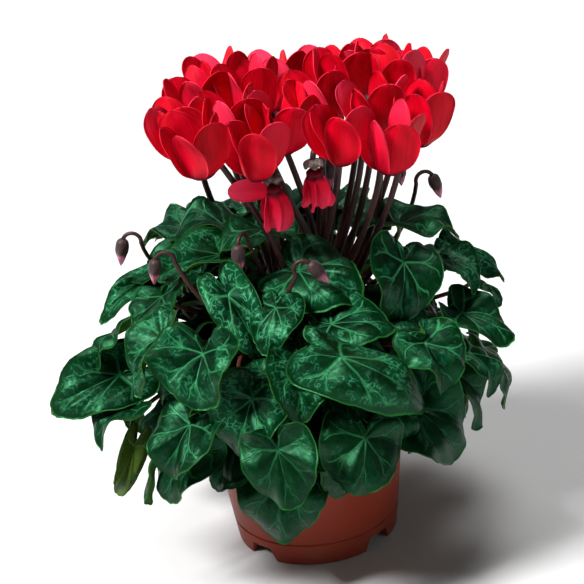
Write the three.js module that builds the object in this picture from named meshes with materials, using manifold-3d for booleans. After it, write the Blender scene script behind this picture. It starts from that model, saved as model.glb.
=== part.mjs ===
// A florist's cyclamen in full flower, growing in its 10.5 cm nursery pot.
// Millimetres, +Z up, the viewer's side is -Y. The plant is laid out about the pot's axis and
// the whole group is moved at the end so that its bounding box stands centred on the origin.
import * as THREE from "three";
import Module from "manifold-3d";

// ---- pot and soil ----
const RIM_R = 52.5;
const POT_H = 88;
const BASE_R = 40.6;
const POT_WALL = 1.5;
const FOOT_T = 2.2;
const GROOVE_Z = 11.6;
const GROOVE_STEP = 0.7;
const RIM_BAND_H = 8;
const RIM_BAND_T = 0.9;
const FLOOR_Z = 8.2;
const FLOOR_T = 1.8;
const NOTCH_AZ = [-135, -45, 45, 135];
const NOTCH_H = 7.5;
const NOTCH_HALF_DEG = 12;
const NOTCH_SLOPE_DEG = 4;
const DRAIN_R = 3;
const DRAIN_RING_R = 24;
const DRAIN_COUNT = 4;
const POT_SEGMENTS = 36;
const SOIL_TOP = 79;
const SOIL_SEGMENTS = 20;
const PIT_R = 22.5;
const PIT_Z = 66;
const GAP = 0.3;

// ---- tuber ----
const TUBER_R = 21;
const TUBER_MID_Z = 76;
const TUBER_TOP_Z = 86;
const TUBER_SIDES = 12;

// ---- leaf blades and leaf stalks ----
const BLADE_T = 0.9;
const HUB = new THREE.Vector3(0, 0, 60);
const WAVES = 3;
const MID_RIB = 0.5;
// half outline of a heart-shaped blade: along the midrib in leaf lengths, across in half widths
const OUTLINE = [[1, 0], [0.82, 0.47], [0.4, 0.89], [-0.1, 1], [-0.42, 0.68], [-0.38, 0.22], [-0.12, 0]];
const PETIOLE_R = [1.6, 1.2];
const SEAT_DROP = 1.6;
const PETIOLE_SIDES = 3;
const PETIOLE_STEPS = 4;
// the stalks stand on the tuber in rings: leaf stalks outside, flower stalks within
const PETIOLE_RINGS = [11.4, 14.6, 17.8];
const STALK_RINGS = [[4, 2], [9, 5.1], [99, 8.2]];

// ---- blooms ----
const TUBE_R = 4.3;
const TUBE_H = 7.6;
const PETALS = 5;
const PETAL_T = 0.9;
const MITRE = 0.5;
const PETAL_GAP_DEG = [57, 118, 180, 242, 303];
// petal stations: distance from the flower's axis, height above its mouth, half width, twist
const PETAL = [[4.4, 0, 1.8, 0], [8.2, 6.0, 4.7, 14], [10.2, 17.5, 8.0, 24], [10.4, 26.5, 5.4, 28]];
const HANGING = [[3.4, 0, 1.6, 0], [4.6, -6.0, 2.6, 20], [4.8, -14.5, 3.6, 34], [3.4, -22.0, 1.8, 44]];
const STALK_R = [1.6, 1.45];
const STALK_SIDES = 4;
const STALK_STEPS = 4;
const HOOK_R = 4.4;
const HOOK_STEPS = 3;
const CALYX_R = 4.4;
const CALYX_H = 3.4;
const BUD_R = 3.6;
const BUD_L = 12;
const OPENING_TUBE_H = 3;
// each kind of flower draws its chances from numbers of its own
const FIRST_OPENING_INDEX = 60;
const FIRST_BUD_INDEX = 80;

// ---- colours ----
const TERRACOTTA = 0x8c3c28;
const PEAT = 0x2b1d14;
const STALK_BROWN = 0x4a2430;
const LEAF_GREEN = 0x1f6a45;
const PETAL_RED = 0xd01030;

// One row a leaf: junction x y z, tip x y z, half width, roll, fold, arch, wave.
// The junction is where the leaf stalk meets the blade; roll turns the blade about its midrib,
// fold lifts (or, below zero, drops) its two halves, arch bends it along the midrib.
const LEAVES = [
  // left flank, top to bottom
  [-38, 4, 160, -58, -12, 158, 15, 0, 12, 2, 2],
  [-28, 10, 166, -49, -10, 163, 14, -10, 14, 2, 2],
  [-69, -8, 148, -92, -20, 136, 8.5, -40, 22, 2, 1.5],
  [-31, -22, 163, -61, -36, 163, 16, -8, 10, 2, 2.5],
  [-60, -28, 148, -66, -50, 137, 15, 0, 8, 2, 1.5],
  [-77, -24, 132, -97, -35, 122, 14, 24, 26, 2, 2.5],
  [-85, -34, 113, -118, -44, 104, 17, -35, 10, 3, 2.5],
  [-61, -57, 142, -75, -69, 119, 14, 14, 20, 3, 2],
  [-82, -48, 102, -99, -58, 94, 13, 6, 8, 3, 2],
  [-81, -56, 86, -92, -60, 63, 7, -60, 20, 2, 1.5],
  [-70, -64, 84, -76, -66, 60, 6.5, 52, 20, 2, 1.5],
  [-54, -62, 86, -70, -70, 64, 16, 0, 8, 3, 2],
  // front, top to bottom
  [-9, -10, 168, -30, -32, 171, 14, 6, 6, 2, 3.5],
  [-29, -48, 154, -16, -62, 126, 12, -6, 22, 3, 2],
  [-8, -58, 150, -15, -71, 134, 12, 0, -14, 2, 2.5],
  [-42, -76, 140, -49, -91, 122, 22, 4, 28, 1, 3],
  [-52, -79, 107, -65, -88, 87, 17, 0, 10, 3, 3],
  [-23, -82, 118, -32, -92, 94, 17, 0, 8, 3, 3],
  [-15, -70, 123, -19, -80, 110, 8, 40, 24, 1, 1],
  [-31, -60, 81, -46, -67, 65, 13, 0, 8, 2, 2],
  [-14, -100, 101, -10, -105, 75, 17, 0, 10, 3, 2],
  [2, -74, 88, 13, -84, 80, 12, 0, 8, 2, 2],
  [-14, -70, 68, -20, -74, 37, 21, 0, 6, 3, 2],
  [25, -88, 95, 19, -98, 72, 20, 0, -16, 3, 2.5],
  [17, -74, 82, 10, -78, 58, 14, 0, 8, 2, 2],
  [0, -74, 128, -3, -90, 108, 15.5, 0, 22, 3, 2.5],
  [18, -88, 137, 55, -98, 115, 18, -8, -30, 4, 2.5],
  [41, -68, 99, 45, -76, 83, 10, 10, 10, 2, 1.5],
  // right flank, top to bottom
  [54, 4, 157, 81, -10, 156, 16, 10, 12, 3, 2],
  [83, 14, 136, 104, 6, 121, 9, 30, 20, 2, 1.5],
  [88, 2, 125, 101, -8, 116, 8, 0, 10, 1, 1],
  [4, -32, 155, 31, -49, 146, 19, 18, 10, 3, 2.5],
  [53, -27, 151, 46, -46, 129, 18, 0, 8, 3, 3],
  [77, -6, 140, 87, -20, 130, 11, 20, 8, 2, 1.5],
  [16, -55, 137, 44, -65, 137, 16, -10, 6, 2, 3],
  [56, -72, 131, 66, -84, 114, 17, 0, 24, 2, 3],
  [79, -24, 120, 100, -34, 106, 14, 20, 12, 3, 2.5],
  [79, -38, 106, 92, -48, 92, 12, 0, 12, 2, 2],
  [88, -12, 92, 101, -22, 68, 15, -10, 14, 3, 2],
  [72, -34, 94, 84, -42, 68, 14, 0, 10, 2, 2],
  [50, -60, 92, 70, -68, 68, 20, 6, 8, 4, 3],
];

// The far side carries the same kind of leaves in three tiers, and a fourth tier fills the
// shade behind the front ones, all placed by rule.
// One row a tier: count, first and last azimuth, radius, height, length, half width, dip in degrees.
const TIERS = [
  [6, 8, 172, 82, 80, 29, 18, 52],
  [5, 22, 158, 76, 114, 30, 19, 30],
  [4, 34, 150, 54, 145, 28, 17, 12],
  [5, 196, 344, 53, 104, 27, 16, 40],
];

// One row a bloom: mouth x y z, lean of its axis in degrees and its bearing, opening.
const BLOOMS = [
  [-33, -42, 211, 8, 225, 1.0],
  [-9, -44, 208, 8, 265, 1.0],
  [-39, -17, 210, 10, 185, 1.0],
  [-20, -19, 212, 4, 250, 1.0],
  [3, -23, 211, 8, 310, 1.0],
  [-32, 8, 214, 8, 150, 1.0],
  [-9, 6, 217, 2, 90, 1.0],
  [-23, 33, 213, 8, 110, 1.0],
  [1, 31, 211, 6, 90, 1.0],
  [29, -42, 210, 8, 260, 1.0],
  [50, -42, 203, 8, 290, 1.0],
  [22, -11, 215, 3, 200, 1.0],
  [46, -17, 212, 2, 280, 1.0],
  [65, -20, 206, 6, 335, 1.0],
  [32, 12, 217, 2, 90, 1.0],
  [56, 7, 214, 6, 30, 1.0],
  [31, 38, 209, 6, 80, 0.9],
  [49, 32, 212, 4, 80, 0.85],
  [68, 21, 208, 10, 30, 0.95],
];
// Two flowers still opening, their petals hanging: calyx x y z, bearing of the stalk, opening.
const OPENING = [
  [-3, -34, 197, 80, 1.0],
  [16, -34, 202, 60, 0.8],
];
// Closed buds on hooked stalks: calyx x y z, bearing of the hook's foot, lean of the bud, size.
const BUDS = [
  [-77, -2, 167, -4, 12, 1.0],
  [-60, -42, 172, 0, 10, 0.9],
  [10, -51, 166, 176, 35, 1.0],
  [-22, -41, 174, 60, 5, 1.0],
  [74, 20, 173, 190, 15, 0.95],
  [58, 14, 184, 180, 0, 0.9],
  [24, 2, 192, 100, 0, 0.9],
];
const STALK_HUBS = [[-14, 2], [28, 2]];

// how much more a stalk's true cut counts than a near miss when its route is chosen
const CUT_WEIGHT = 100;
const OWN_CUT_WEIGHT = 10;

const wasm = await Module();
wasm.setup();

const V = (x, y, z) => new THREE.Vector3(x, y, z);
const UP = V(0, 0, 1);
const rad = THREE.MathUtils.degToRad;
const draw = (a, b) => {
  const s = Math.sin(a * 12.9898 + b * 78.233) * 43758.5453;
  return s - Math.floor(s);
};
const along = (p, ...terms) => {
  const out = p.clone();
  for (let i = 0; i < terms.length; i += 2) {
    out.addScaledVector(terms[i], terms[i + 1]);
  }
  return out;
};

// ---- solids ----
function lathe(profile, segments) {
  const points = profile.map(([r, z]) => new THREE.Vector2(r, z));
  const g = new THREE.LatheGeometry(points, segments);
  g.rotateX(Math.PI / 2);
  const index = Array.from(g.index.array);
  const p = g.attributes.position;
  const faces = [];
  for (let i = 0; i < index.length; i += 3) {
    faces.push([index[i], index[i + 1], index[i + 2]]);
  }
  const verts = [];
  for (let i = 0; i < p.count; i++) {
    verts.push(V(p.getX(i), p.getY(i), p.getZ(i)));
  }
  return cleanSolid(verts, faces);
}

// A closed shell from shared vertices: coincident points are merged and empty triangles dropped.
function cleanSolid(verts, faces) {
  const seen = new Map();
  const keep = [];
  const to = verts.map((v) => {
    const key = v.toArray().map((c) => Math.round(c * 1e4)).join();
    if (!seen.has(key)) {
      seen.set(key, keep.length);
      keep.push(v);
    }
    return seen.get(key);
  });
  const tidy = faces
    .map((f) => f.map((i) => to[i]))
    .filter(([a, b, c]) => a !== b && b !== c && a !== c);
  const made = new wasm.Manifold(new wasm.Mesh({
    numProp: 3,
    vertProperties: new Float32Array(keep.flatMap((v) => v.toArray())),
    triVerts: new Uint32Array(tidy.flat()),
  }));
  if (made.volume() > 0) {
    return made;
  }
  return new wasm.Manifold(new wasm.Mesh({
    numProp: 3,
    vertProperties: new Float32Array(keep.flatMap((v) => v.toArray())),
    triVerts: new Uint32Array(tidy.map(([a, b, c]) => [a, c, b]).flat()),
  }));
}

// A thin sheet given as vertices and triangles becomes a solid of one thickness,
// split into triangles alike on both faces.
function thicken(verts, faces, thickness) {
  const normals = verts.map(() => V(0, 0, 0));
  const weights = verts.map(() => 0);
  const edges = new Set();
  for (const [a, b, c] of faces) {
    const n = verts[b].clone().sub(verts[a]).cross(verts[c].clone().sub(verts[a]));
    [a, b, c].forEach((i) => {
      normals[i].add(n);
      weights[i] += n.length();
    });
    edges.add(a + "," + b).add(b + "," + c).add(c + "," + a);
  }
  // at a sharp fold the sheet is mitred, so that it keeps its thickness
  const offsets = normals.map((n, i) => {
    const mean = n.divideScalar(weights[i]);
    return mean.divideScalar(Math.max(MITRE, mean.length()) ** 2);
  });
  const top = verts.map((v, i) => along(v, offsets[i], thickness / 2));
  const low = verts.map((v, i) => along(v, offsets[i], -thickness / 2));
  const m = verts.length;
  const out = [];
  for (const [a, b, c] of faces) {
    out.push([a, b, c], [m + a, m + c, m + b]);
    for (const [p, q] of [[a, b], [b, c], [c, a]]) {
      if (!edges.has(q + "," + p)) {
        out.push([q, p, m + p], [q, m + p, m + q]);
      }
    }
  }
  return cleanSolid([...top, ...low], out);
}

// A round bar through a list of points, with a radius for each.
function bar(points, radii, sides) {
  const verts = [];
  let side = V(1, 0, 0);
  points.forEach((p, i) => {
    const before = points[Math.max(0, i - 1)];
    const after = points[Math.min(points.length - 1, i + 1)];
    const t = after.clone().sub(before).normalize();
    side = along(side, t, -side.dot(t));
    if (side.length() < 0.2) {
      side = V(0, 1, 0);
      side = along(side, t, -side.dot(t));
    }
    side.normalize();
    const other = t.clone().cross(side);
    for (let k = 0; k < sides; k++) {
      const q = (2 * Math.PI * k) / sides;
      verts.push(along(p, side, radii[i] * Math.cos(q), other, radii[i] * Math.sin(q)));
    }
  });
  const faces = [];
  for (let i = 0; i + 1 < points.length; i++) {
    for (let k = 0; k < sides; k++) {
      const a = i * sides + k;
      const b = i * sides + ((k + 1) % sides);
      faces.push([a, b, b + sides], [a, b + sides, a + sides]);
    }
  }
  const last = (points.length - 1) * sides;
  for (let k = 1; k + 1 < sides; k++) {
    faces.push([0, k + 1, k], [last, last + k, last + k + 1]);
  }
  return cleanSolid(verts, faces);
}

function bezier(p0, p1, p2, p3, steps) {
  return new THREE.CubicBezierCurve3(p0, p1, p2, p3).getPoints(steps);
}

const ramp = ([from, to], n) => Array.from({ length: n }, (_, i) => from + ((to - from) * i) / (n - 1));

// ---- leaf blades ----
function tierLeaves() {
  const rows = [];
  TIERS.forEach(([count, from, to, radius, height, length, half, dip], tier) => {
    for (let k = 0; k < count; k++) {
      const seed = 100 * (tier + 1) + k;
      const az = rad(from + ((to - from) * (k + 0.5)) / count + 10 * (draw(seed, 1) - 0.5));
      const out = V(Math.cos(az), Math.sin(az), 0);
      const swing = rad(40 * (draw(seed, 2) - 0.5));
      const turned = out.clone().applyAxisAngle(UP, swing);
      const slope = rad(dip + 16 * (draw(seed, 3) - 0.5));
      const away = radius + 8 * (draw(seed, 4) - 0.5);
      const j = along(V(0, 0, 0), out, away, UP, height + 10 * (draw(seed, 5) - 0.5));
      const t = along(j, turned, length * Math.cos(slope), UP, -length * Math.sin(slope));
      rows.push([...j.toArray(), ...t.toArray(), half, 20 * (draw(seed, 6) - 0.5), 12, 3, 2.5]);
    }
  });
  return rows;
}

function leafFrame(row, index) {
  const [jx, jy, jz, tx, ty, tz, half, roll, fold, arch, wave] = row;
  const j = V(jx, jy, jz);
  const e1 = V(tx, ty, tz).sub(j);
  const length = e1.length();
  e1.normalize();
  const face = j.clone().sub(HUB).normalize();
  const n = along(face, e1, -face.dot(e1)).normalize().applyAxisAngle(e1, rad(roll));
  const e2 = n.clone().cross(e1);
  const seat = along(n, e1, (-4 * arch) / length).normalize();
  const phase = 6.28 * draw(index, 7);
  return { index, j, e1, e2, n, seat, length, half, fold: rad(fold), arch, wave, phase };
}

function bladePoint(f, a, b, ring, angle) {
  const lift = (4 * f.arch * a * (1 - a)) / (1 + 3 * Math.max(0, -a))
    + f.wave * ring * ring * Math.sin(WAVES * angle + f.phase)
    + Math.abs(b) * f.half * Math.sin(f.fold);
  return along(f.j, f.e1, a * f.length, f.e2, b * f.half * Math.cos(f.fold), f.n, lift);
}

function blade(f) {
  const right = OUTLINE.slice(1, -1).reverse();
  const left = OUTLINE.slice(1, -1).map(([a, b]) => [a, -b]);
  const round = [OUTLINE[0], ...left, OUTLINE.at(-1), ...right];
  const at = (a, b, ring) => bladePoint(f, a, b, ring, Math.atan2(b, a));
  const verts = [f.j.clone(), at(MID_RIB, 0, MID_RIB), ...round.map(([a, b]) => at(a, b, 1))];
  const n = round.length;
  const faces = [[1, 0, 4], [1, n, 0]];
  for (let i = 0; i < n; i++) {
    const k = (i + 1) % n;
    const hub = i < 2 || i >= n - 2 ? 1 : 0;
    faces.push([hub, 2 + k, 2 + i]);
  }
  return thicken(verts, faces, BLADE_T);
}

// Where a stalk leaves the tuber, sunk well in.
function rootAt(azimuth, radius) {
  return V(radius * Math.cos(azimuth), radius * Math.sin(azimuth), 83 - 0.28 * radius);
}

const turnFromBack = (x, y) => (Math.atan2(y, x) + 1.5 * Math.PI) % (2 * Math.PI);

// Leaf stalks spring from the tuber in the order of their leaves round the plant, three abreast,
// the highest leaf of each three innermost.
function petioleRoots(frames) {
  const order = [...frames].sort((a, b) => turnFromBack(a.j.x, a.j.y) - turnFromBack(b.j.x, b.j.y));
  const roots = new Map();
  for (let i = 0; i < order.length; i += 3) {
    const three = order.slice(i, i + 3);
    const byHeight = [...three].sort((a, b) => b.j.z - a.j.z);
    three.forEach((f, k) => {
      const azimuth = Math.PI / 2 + (2 * Math.PI * (i + k + 0.5)) / order.length;
      roots.set(f.index, rootAt(azimuth, PETIOLE_RINGS[byHeight.indexOf(f)]));
    });
  }
  return roots;
}

// Flower stalks fill the middle of the tuber from its centre out, each ring in bearing order.
function stalkRoots(tops) {
  const left = [...tops].sort((a, b) => Math.hypot(a.x, a.y) - Math.hypot(b.x, b.y));
  const roots = new Map();
  for (const [count, radius] of STALK_RINGS) {
    const ring = left.splice(0, count);
    ring.sort((a, b) => turnFromBack(a.x, a.y) - turnFromBack(b.x, b.y));
    ring.forEach((top, k) => {
      roots.set(top.index, rootAt(Math.PI / 2 + (2 * Math.PI * (k + 0.5)) / ring.length, radius));
    });
  }
  return roots;
}

function petioleRoute(f, root, lift, bow) {
  const end = along(f.j, f.seat, -SEAT_DROP);
  const flat = V(f.j.x, f.j.y, 0);
  const reach = flat.length();
  const out = flat.normalize();
  const cross = V(-out.y, out.x, 0);
  const high = THREE.MathUtils.clamp((f.j.z - 60) / 100, 0, 1);
  const first = along(root, UP, 24 + 22 * high + lift, out, (0.42 - 0.28 * high) * reach - 6, cross, bow);
  const over = 28 * (1 - high) * (1 - Math.max(0, f.n.z));
  const second = along(end, f.seat, -14, f.e1, -3, UP, over, cross, 0.6 * bow);
  return bezier(root, first, second, end, PETIOLE_STEPS);
}

// ---- flowers ----
function bloomFrame(row, index) {
  const [x, y, z, lean, bearing, open] = row;
  const way = V(Math.cos(rad(bearing)), Math.sin(rad(bearing)), 0);
  const axis = along(V(0, 0, 0), UP, Math.cos(rad(lean)), way, Math.sin(rad(lean))).normalize();
  const hub = STALK_HUBS[x < 12 ? 0 : 1];
  let back = V(hub[0] - x, hub[1] + 14 - y, 0);
  if (back.length() < 6) {
    back = V(0.2, 1, 0);
  }
  back = along(back, axis, -back.dot(axis)).normalize();
  const side = axis.clone().cross(back);
  return { index, mouth: V(x, y, z), axis, back, side, open };
}

// A flower is one sheet: a short tube, five mouth edges and a petal grown from each of them,
// every petal turned a little so that its one edge stands outside the next petal's edge.
function corolla(f, stations, tubeTop) {
  const verts = [];
  const put = (p) => verts.push(p) - 1;
  const faces = [];
  const flower = PETAL_GAP_DEG.map((degrees, k) => {
    const q = rad(degrees);
    const outward = along(V(0, 0, 0), f.back, Math.cos(q), f.side, Math.sin(q));
    const across = along(V(0, 0, 0), f.back, -Math.sin(q), f.side, Math.cos(q));
    const seed = 40 * f.index + k;
    const size = 0.94 + 0.12 * draw(seed, 9);
    const splay = f.open * (0.88 + 0.24 * draw(seed, 10));
    const top = put(along(f.mouth, outward, TUBE_R * 0.9, f.axis, tubeTop));
    const rows = stations.map(([r, h, w, twist], i) => {
      const share = i / (stations.length - 1);
      const centre = along(f.mouth, outward, r * (1 + (splay - 1) * share), f.axis, h * size);
      const dir = along(V(0, 0, 0), across, Math.cos(rad(twist)), outward, Math.sin(rad(twist)));
      const row = [put(along(centre, dir, -w)), put(along(centre, dir, w))];
      if (i === 2) {
        row.push(put(along(centre, outward, -0.2 * w)));
      }
      return row;
    });
    return { top, rows };
  });
  flower.forEach(({ top, rows: [[l0, r0], [l1, r1], [l2, r2, m2], [l3, r3]] }, k) => {
    const next = flower[(k + 1) % PETALS];
    faces.push([top, l0, r0], [top, r0, next.rows[0][0]], [top, next.rows[0][0], next.top]);
    faces.push([r0, l0, l1], [r0, l1, r1], [r1, l1, m2], [l1, l2, m2], [r1, m2, r2]);
    faces.push([m2, l2, l3], [m2, l3, r3], [r2, m2, r3]);
  });
  return thicken(verts, faces, PETAL_T);
}

// The hooked top of a flower stalk, from the calyx back over and down to the hook's foot.
function hook(top, axis, back) {
  const centre = along(top, axis, 0.5, back, HOOK_R);
  const points = [];
  for (let i = 0; i <= HOOK_STEPS; i++) {
    const q = (Math.PI * i) / HOOK_STEPS;
    points.push(along(centre, back, -HOOK_R * Math.cos(q), axis, HOOK_R * Math.sin(q)));
  }
  return points;
}

function stalkRoute(f, top, root, bow, pull, tuck) {
  const bend = hook(top, f.axis, f.back);
  const foot = bend.at(-1);
  const high = foot.z - root.z;
  const flat = Math.hypot(foot.x, foot.y);
  const cross = V(-foot.y / flat, foot.x / flat, 0);
  const first = along(root, UP, 0.42 * high, cross, bow);
  first.x += 0.3 * foot.x;
  first.y += 0.25 * foot.y + 4 + pull;
  const second = along(foot, f.axis, -0.42 * high, cross, 0.6 * bow);
  second.x = foot.x * 0.96 * tuck + 0.6 * bow * cross.x;
  second.y = foot.y * 0.7 * tuck + 4 + pull + 0.6 * bow * cross.y;
  const rise = bezier(root, first, second, foot, STALK_STEPS).slice(0, -1);
  return [...rise, ...bend.reverse()];
}

function calyx(top, axis) {
  const low = along(top, axis, -CALYX_H);
  return bar([low, along(top, axis, 0.8)], [CALYX_R, 1.8], PETALS);
}

function bud(top, axis, size) {
  const shares = [[0.4, 1.8], [-0.3, 3.4], [-0.55, 2.6], [-1, 0.5]];
  return bar(
    shares.map(([s]) => along(top, axis, s * BUD_L * size)),
    shares.map(([, r]) => (r * BUD_R * size) / 3.4),
    5,
  );
}

// ---- fusing and grouping ----
function fuse(parts) {
  return parts.reduce((whole, part) => whole.add(part));
}

const touches = (a, b) => a.intersect(b).volume() > 1e-6;
const boxOf = (s) => {
  const b = s.boundingBox();
  return new THREE.Box3(V(...b.min), V(...b.max));
};

// Bodies that run into one another grow together into one.
function growTogether(bodies) {
  const owner = bodies.map((_, i) => i);
  const find = (i) => (owner[i] === i ? i : find(owner[i]));
  const boxes = bodies.map(boxOf);
  for (let i = 0; i < bodies.length; i++) {
    for (let k = i + 1; k < bodies.length; k++) {
      const near = boxes[i].intersectsBox(boxes[k]);
      if (near && find(i) !== find(k) && touches(bodies[i], bodies[k])) {
        owner[Math.max(find(i), find(k))] = Math.min(find(i), find(k));
      }
    }
  }
  const groups = new Map();
  bodies.forEach((body, i) => {
    const o = find(i);
    groups.set(o, groups.has(o) ? groups.get(o).add(body) : body);
  });
  return groups;
}

// The first route that keeps clear of every obstacle, or else the one that cuts least of them.
function clearBar(routes, radii, sides, obstacles, own) {
  let best = null;
  for (const points of routes) {
    const body = bar(points, ramp(radii, points.length), sides);
    const wide = bar(points, ramp(radii, points.length).map((r) => r + GAP), sides);
    const box = boxOf(wide);
    const self = own ? body.intersect(own).volume() : 0;
    let cut = 0;
    for (const o of obstacles) {
      if (o.box.intersectsBox(box)) {
        const close = wide.intersect(o.body).volume();
        cut += close > 0 ? close + CUT_WEIGHT * body.intersect(o.body).volume() : 0;
      }
    }
    cut += OWN_CUT_WEIGHT * self;
    if (!best || cut < best.cut) {
      best = { cut, body };
    }
    if (cut < 1e-6) {
      break;
    }
  }
  return best.body;
}

// ---- pot and soil ----
function outerRadius(z) {
  return BASE_R + ((RIM_R - RIM_BAND_T - BASE_R) * z) / POT_H;
}

function pot() {
  const bandZ = POT_H - RIM_BAND_H;
  const shell = lathe([
    [0, FLOOR_Z], [BASE_R - FOOT_T, FLOOR_Z], [BASE_R - FOOT_T, 0], [BASE_R, 0],
    [outerRadius(GROOVE_Z), GROOVE_Z], [outerRadius(GROOVE_Z) - GROOVE_STEP, GROOVE_Z + 0.6],
    [outerRadius(GROOVE_Z + 1.4), GROOVE_Z + 1.4], [outerRadius(bandZ), bandZ],
    [outerRadius(bandZ) + RIM_BAND_T, bandZ + 0.8], [RIM_R, POT_H - 0.6], [RIM_R - 0.6, POT_H],
    [RIM_R - RIM_BAND_T - POT_WALL, POT_H], [outerRadius(FLOOR_Z + FLOOR_T) - POT_WALL, FLOOR_Z + FLOOR_T],
    [0, FLOOR_Z + FLOOR_T],
  ], POT_SEGMENTS);
  const cuts = [];
  for (const az of NOTCH_AZ) {
    const corners = [];
    for (const [z, half] of [[-1, NOTCH_HALF_DEG + 0.5], [NOTCH_H, NOTCH_HALF_DEG - NOTCH_SLOPE_DEG]]) {
      for (const [r, sign] of [[BASE_R - 5, -1], [BASE_R - 5, 1], [BASE_R + 3, 1], [BASE_R + 3, -1]]) {
        const q = rad(az + sign * half);
        corners.push(V(r * Math.cos(q), r * Math.sin(q), z));
      }
    }
    cuts.push(cleanSolid(corners, [
      [0, 2, 1], [0, 3, 2], [4, 5, 6], [4, 6, 7], [0, 1, 5], [0, 5, 4],
      [1, 2, 6], [1, 6, 5], [2, 3, 7], [2, 7, 6], [3, 0, 4], [3, 4, 7],
    ]));
  }
  for (let k = 0; k < DRAIN_COUNT; k++) {
    const q = (2 * Math.PI * k) / DRAIN_COUNT;
    const [x, y] = [DRAIN_RING_R * Math.cos(q), DRAIN_RING_R * Math.sin(q)];
    cuts.push(bar([V(x, y, FLOOR_Z - 2), V(x, y, FLOOR_Z + FLOOR_T + 2)], [DRAIN_R, DRAIN_R], 8));
  }
  return cuts.reduce((body, cut) => body.subtract(cut), shell);
}

function soil() {
  const low = FLOOR_Z + FLOOR_T + GAP;
  return lathe([
    [0, low], [outerRadius(low) - POT_WALL - GAP - 0.2, low],
    [outerRadius(SOIL_TOP) - POT_WALL - GAP - 0.2, SOIL_TOP],
    [PIT_R + 8, SOIL_TOP + 1.5], [PIT_R, SOIL_TOP + 1], [PIT_R, PIT_Z], [0, PIT_Z],
  ], SOIL_SEGMENTS);
}

function tuber() {
  return lathe([
    [0, PIT_Z + GAP], [TUBER_R * 0.7, PIT_Z + 2], [TUBER_R, TUBER_MID_Z],
    [TUBER_R * 0.86, TUBER_TOP_Z - 4], [TUBER_R * 0.5, TUBER_TOP_Z], [0, TUBER_TOP_Z],
  ], TUBER_SIDES);
}

// ---- assembly ----
const bodies = new Map();
const potBody = pot();
bodies.set("pot", [potBody, TERRACOTTA]);

const leaves = [...LEAVES, ...tierLeaves()].map(leafFrame);
const blades = leaves.map(blade);
const blooms = BLOOMS.map(bloomFrame);
const opening = OPENING.map(([x, y, z, bearing, open], i) => {
  const back = V(Math.cos(rad(bearing)), Math.sin(rad(bearing)), 0);
  const side = UP.clone().cross(back);
  return { index: FIRST_OPENING_INDEX + i, mouth: V(x, y, z), axis: UP.clone(), back, side, open };
});
const corollas = [
  ...blooms.map((f) => corolla(f, PETAL, TUBE_H)),
  ...opening.map((f) => corolla(f, HANGING, OPENING_TUBE_H)),
];
const soilBody = soil();
const obstacles = [...blades, ...corollas, potBody, soilBody].map((body) => ({ body, box: boxOf(body) }));
const without = (index) => obstacles.filter((_, i) => i !== index);

const crown = [tuber()];
const leafRoots = petioleRoots(leaves);
for (const f of leaves) {
  const routes = [];
  for (const lift of [0, 8, -8, 16, 26, -14]) {
    for (const bow of [0, 7, -7, 14, -14, 22, -22, 32, -32]) {
      routes.push(petioleRoute(f, leafRoots.get(f.index), lift, bow));
    }
  }
  crown.push(clearBar(routes, PETIOLE_R, PETIOLE_SIDES, without(f.index), blades[f.index]));
}

function addStalk(f, top, cap, flower) {
  const routes = [];
  for (const tuck of [1, 0.75, 0.5]) {
    for (const pull of [0, 6, -6, 12, -12, 20, -20, 30]) {
      for (const bow of [0, 5, -5, 10, -10, 16, -16, 24, -24, 34, -34]) {
        routes.push(stalkRoute(f, top, flowerRoots.get(f.index), bow, pull, tuck));
      }
    }
  }
  const own = flower === undefined ? null : corollas[flower];
  const others = own ? without(blades.length + flower) : obstacles;
  crown.push(clearBar(routes, STALK_R, STALK_SIDES, others, own), cap);
}

// the hooked stalks of open flowers, opening flowers and buds: frame, top, what sits on it
const stalks = [];
blooms.forEach((f, i) => {
  const top = along(f.mouth, f.axis, TUBE_H + GAP + CALYX_H);
  stalks.push({ f, top, cap: calyx(top, f.axis), flower: i });
});
opening.forEach((f, i) => {
  const top = along(f.mouth, f.axis, OPENING_TUBE_H + GAP + CALYX_H);
  stalks.push({ f, top, cap: calyx(top, f.axis), flower: blooms.length + i });
});
BUDS.forEach(([x, y, z, bearing, lean, size], i) => {
  const back = V(Math.cos(rad(bearing)), Math.sin(rad(bearing)), 0);
  const axis = along(V(0, 0, 0), UP, Math.cos(rad(lean)), back, Math.sin(rad(lean)));
  const top = V(x, y, z);
  const f = { index: FIRST_BUD_INDEX + i, axis, back: along(back, axis, -back.dot(axis)).normalize() };
  stalks.push({ f, top, cap: bud(top, axis, size) });
});
const flowerRoots = stalkRoots(stalks.map(({ f, top }) => ({ index: f.index, x: top.x, y: top.y })));
for (const { f, top, cap, flower } of stalks) {
  addStalk(f, top, cap, flower);
}
bodies.set("soil", [soilBody, PEAT]);
bodies.set("crown", [fuse(crown), STALK_BROWN]);

for (const [i, body] of growTogether(blades)) {
  bodies.set("leaf_" + String(i + 1).padStart(2, "0"), [body, LEAF_GREEN]);
}
for (const [i, body] of growTogether(corollas)) {
  bodies.set("bloom_" + String(i + 1).padStart(2, "0"), [body, PETAL_RED]);
}

const box = new THREE.Box3();
for (const [body] of bodies.values()) {
  box.union(boxOf(body));
}
const shift = box.getCenter(V(0, 0, 0)).multiplyScalar(-1);
shift.z = 0;

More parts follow.
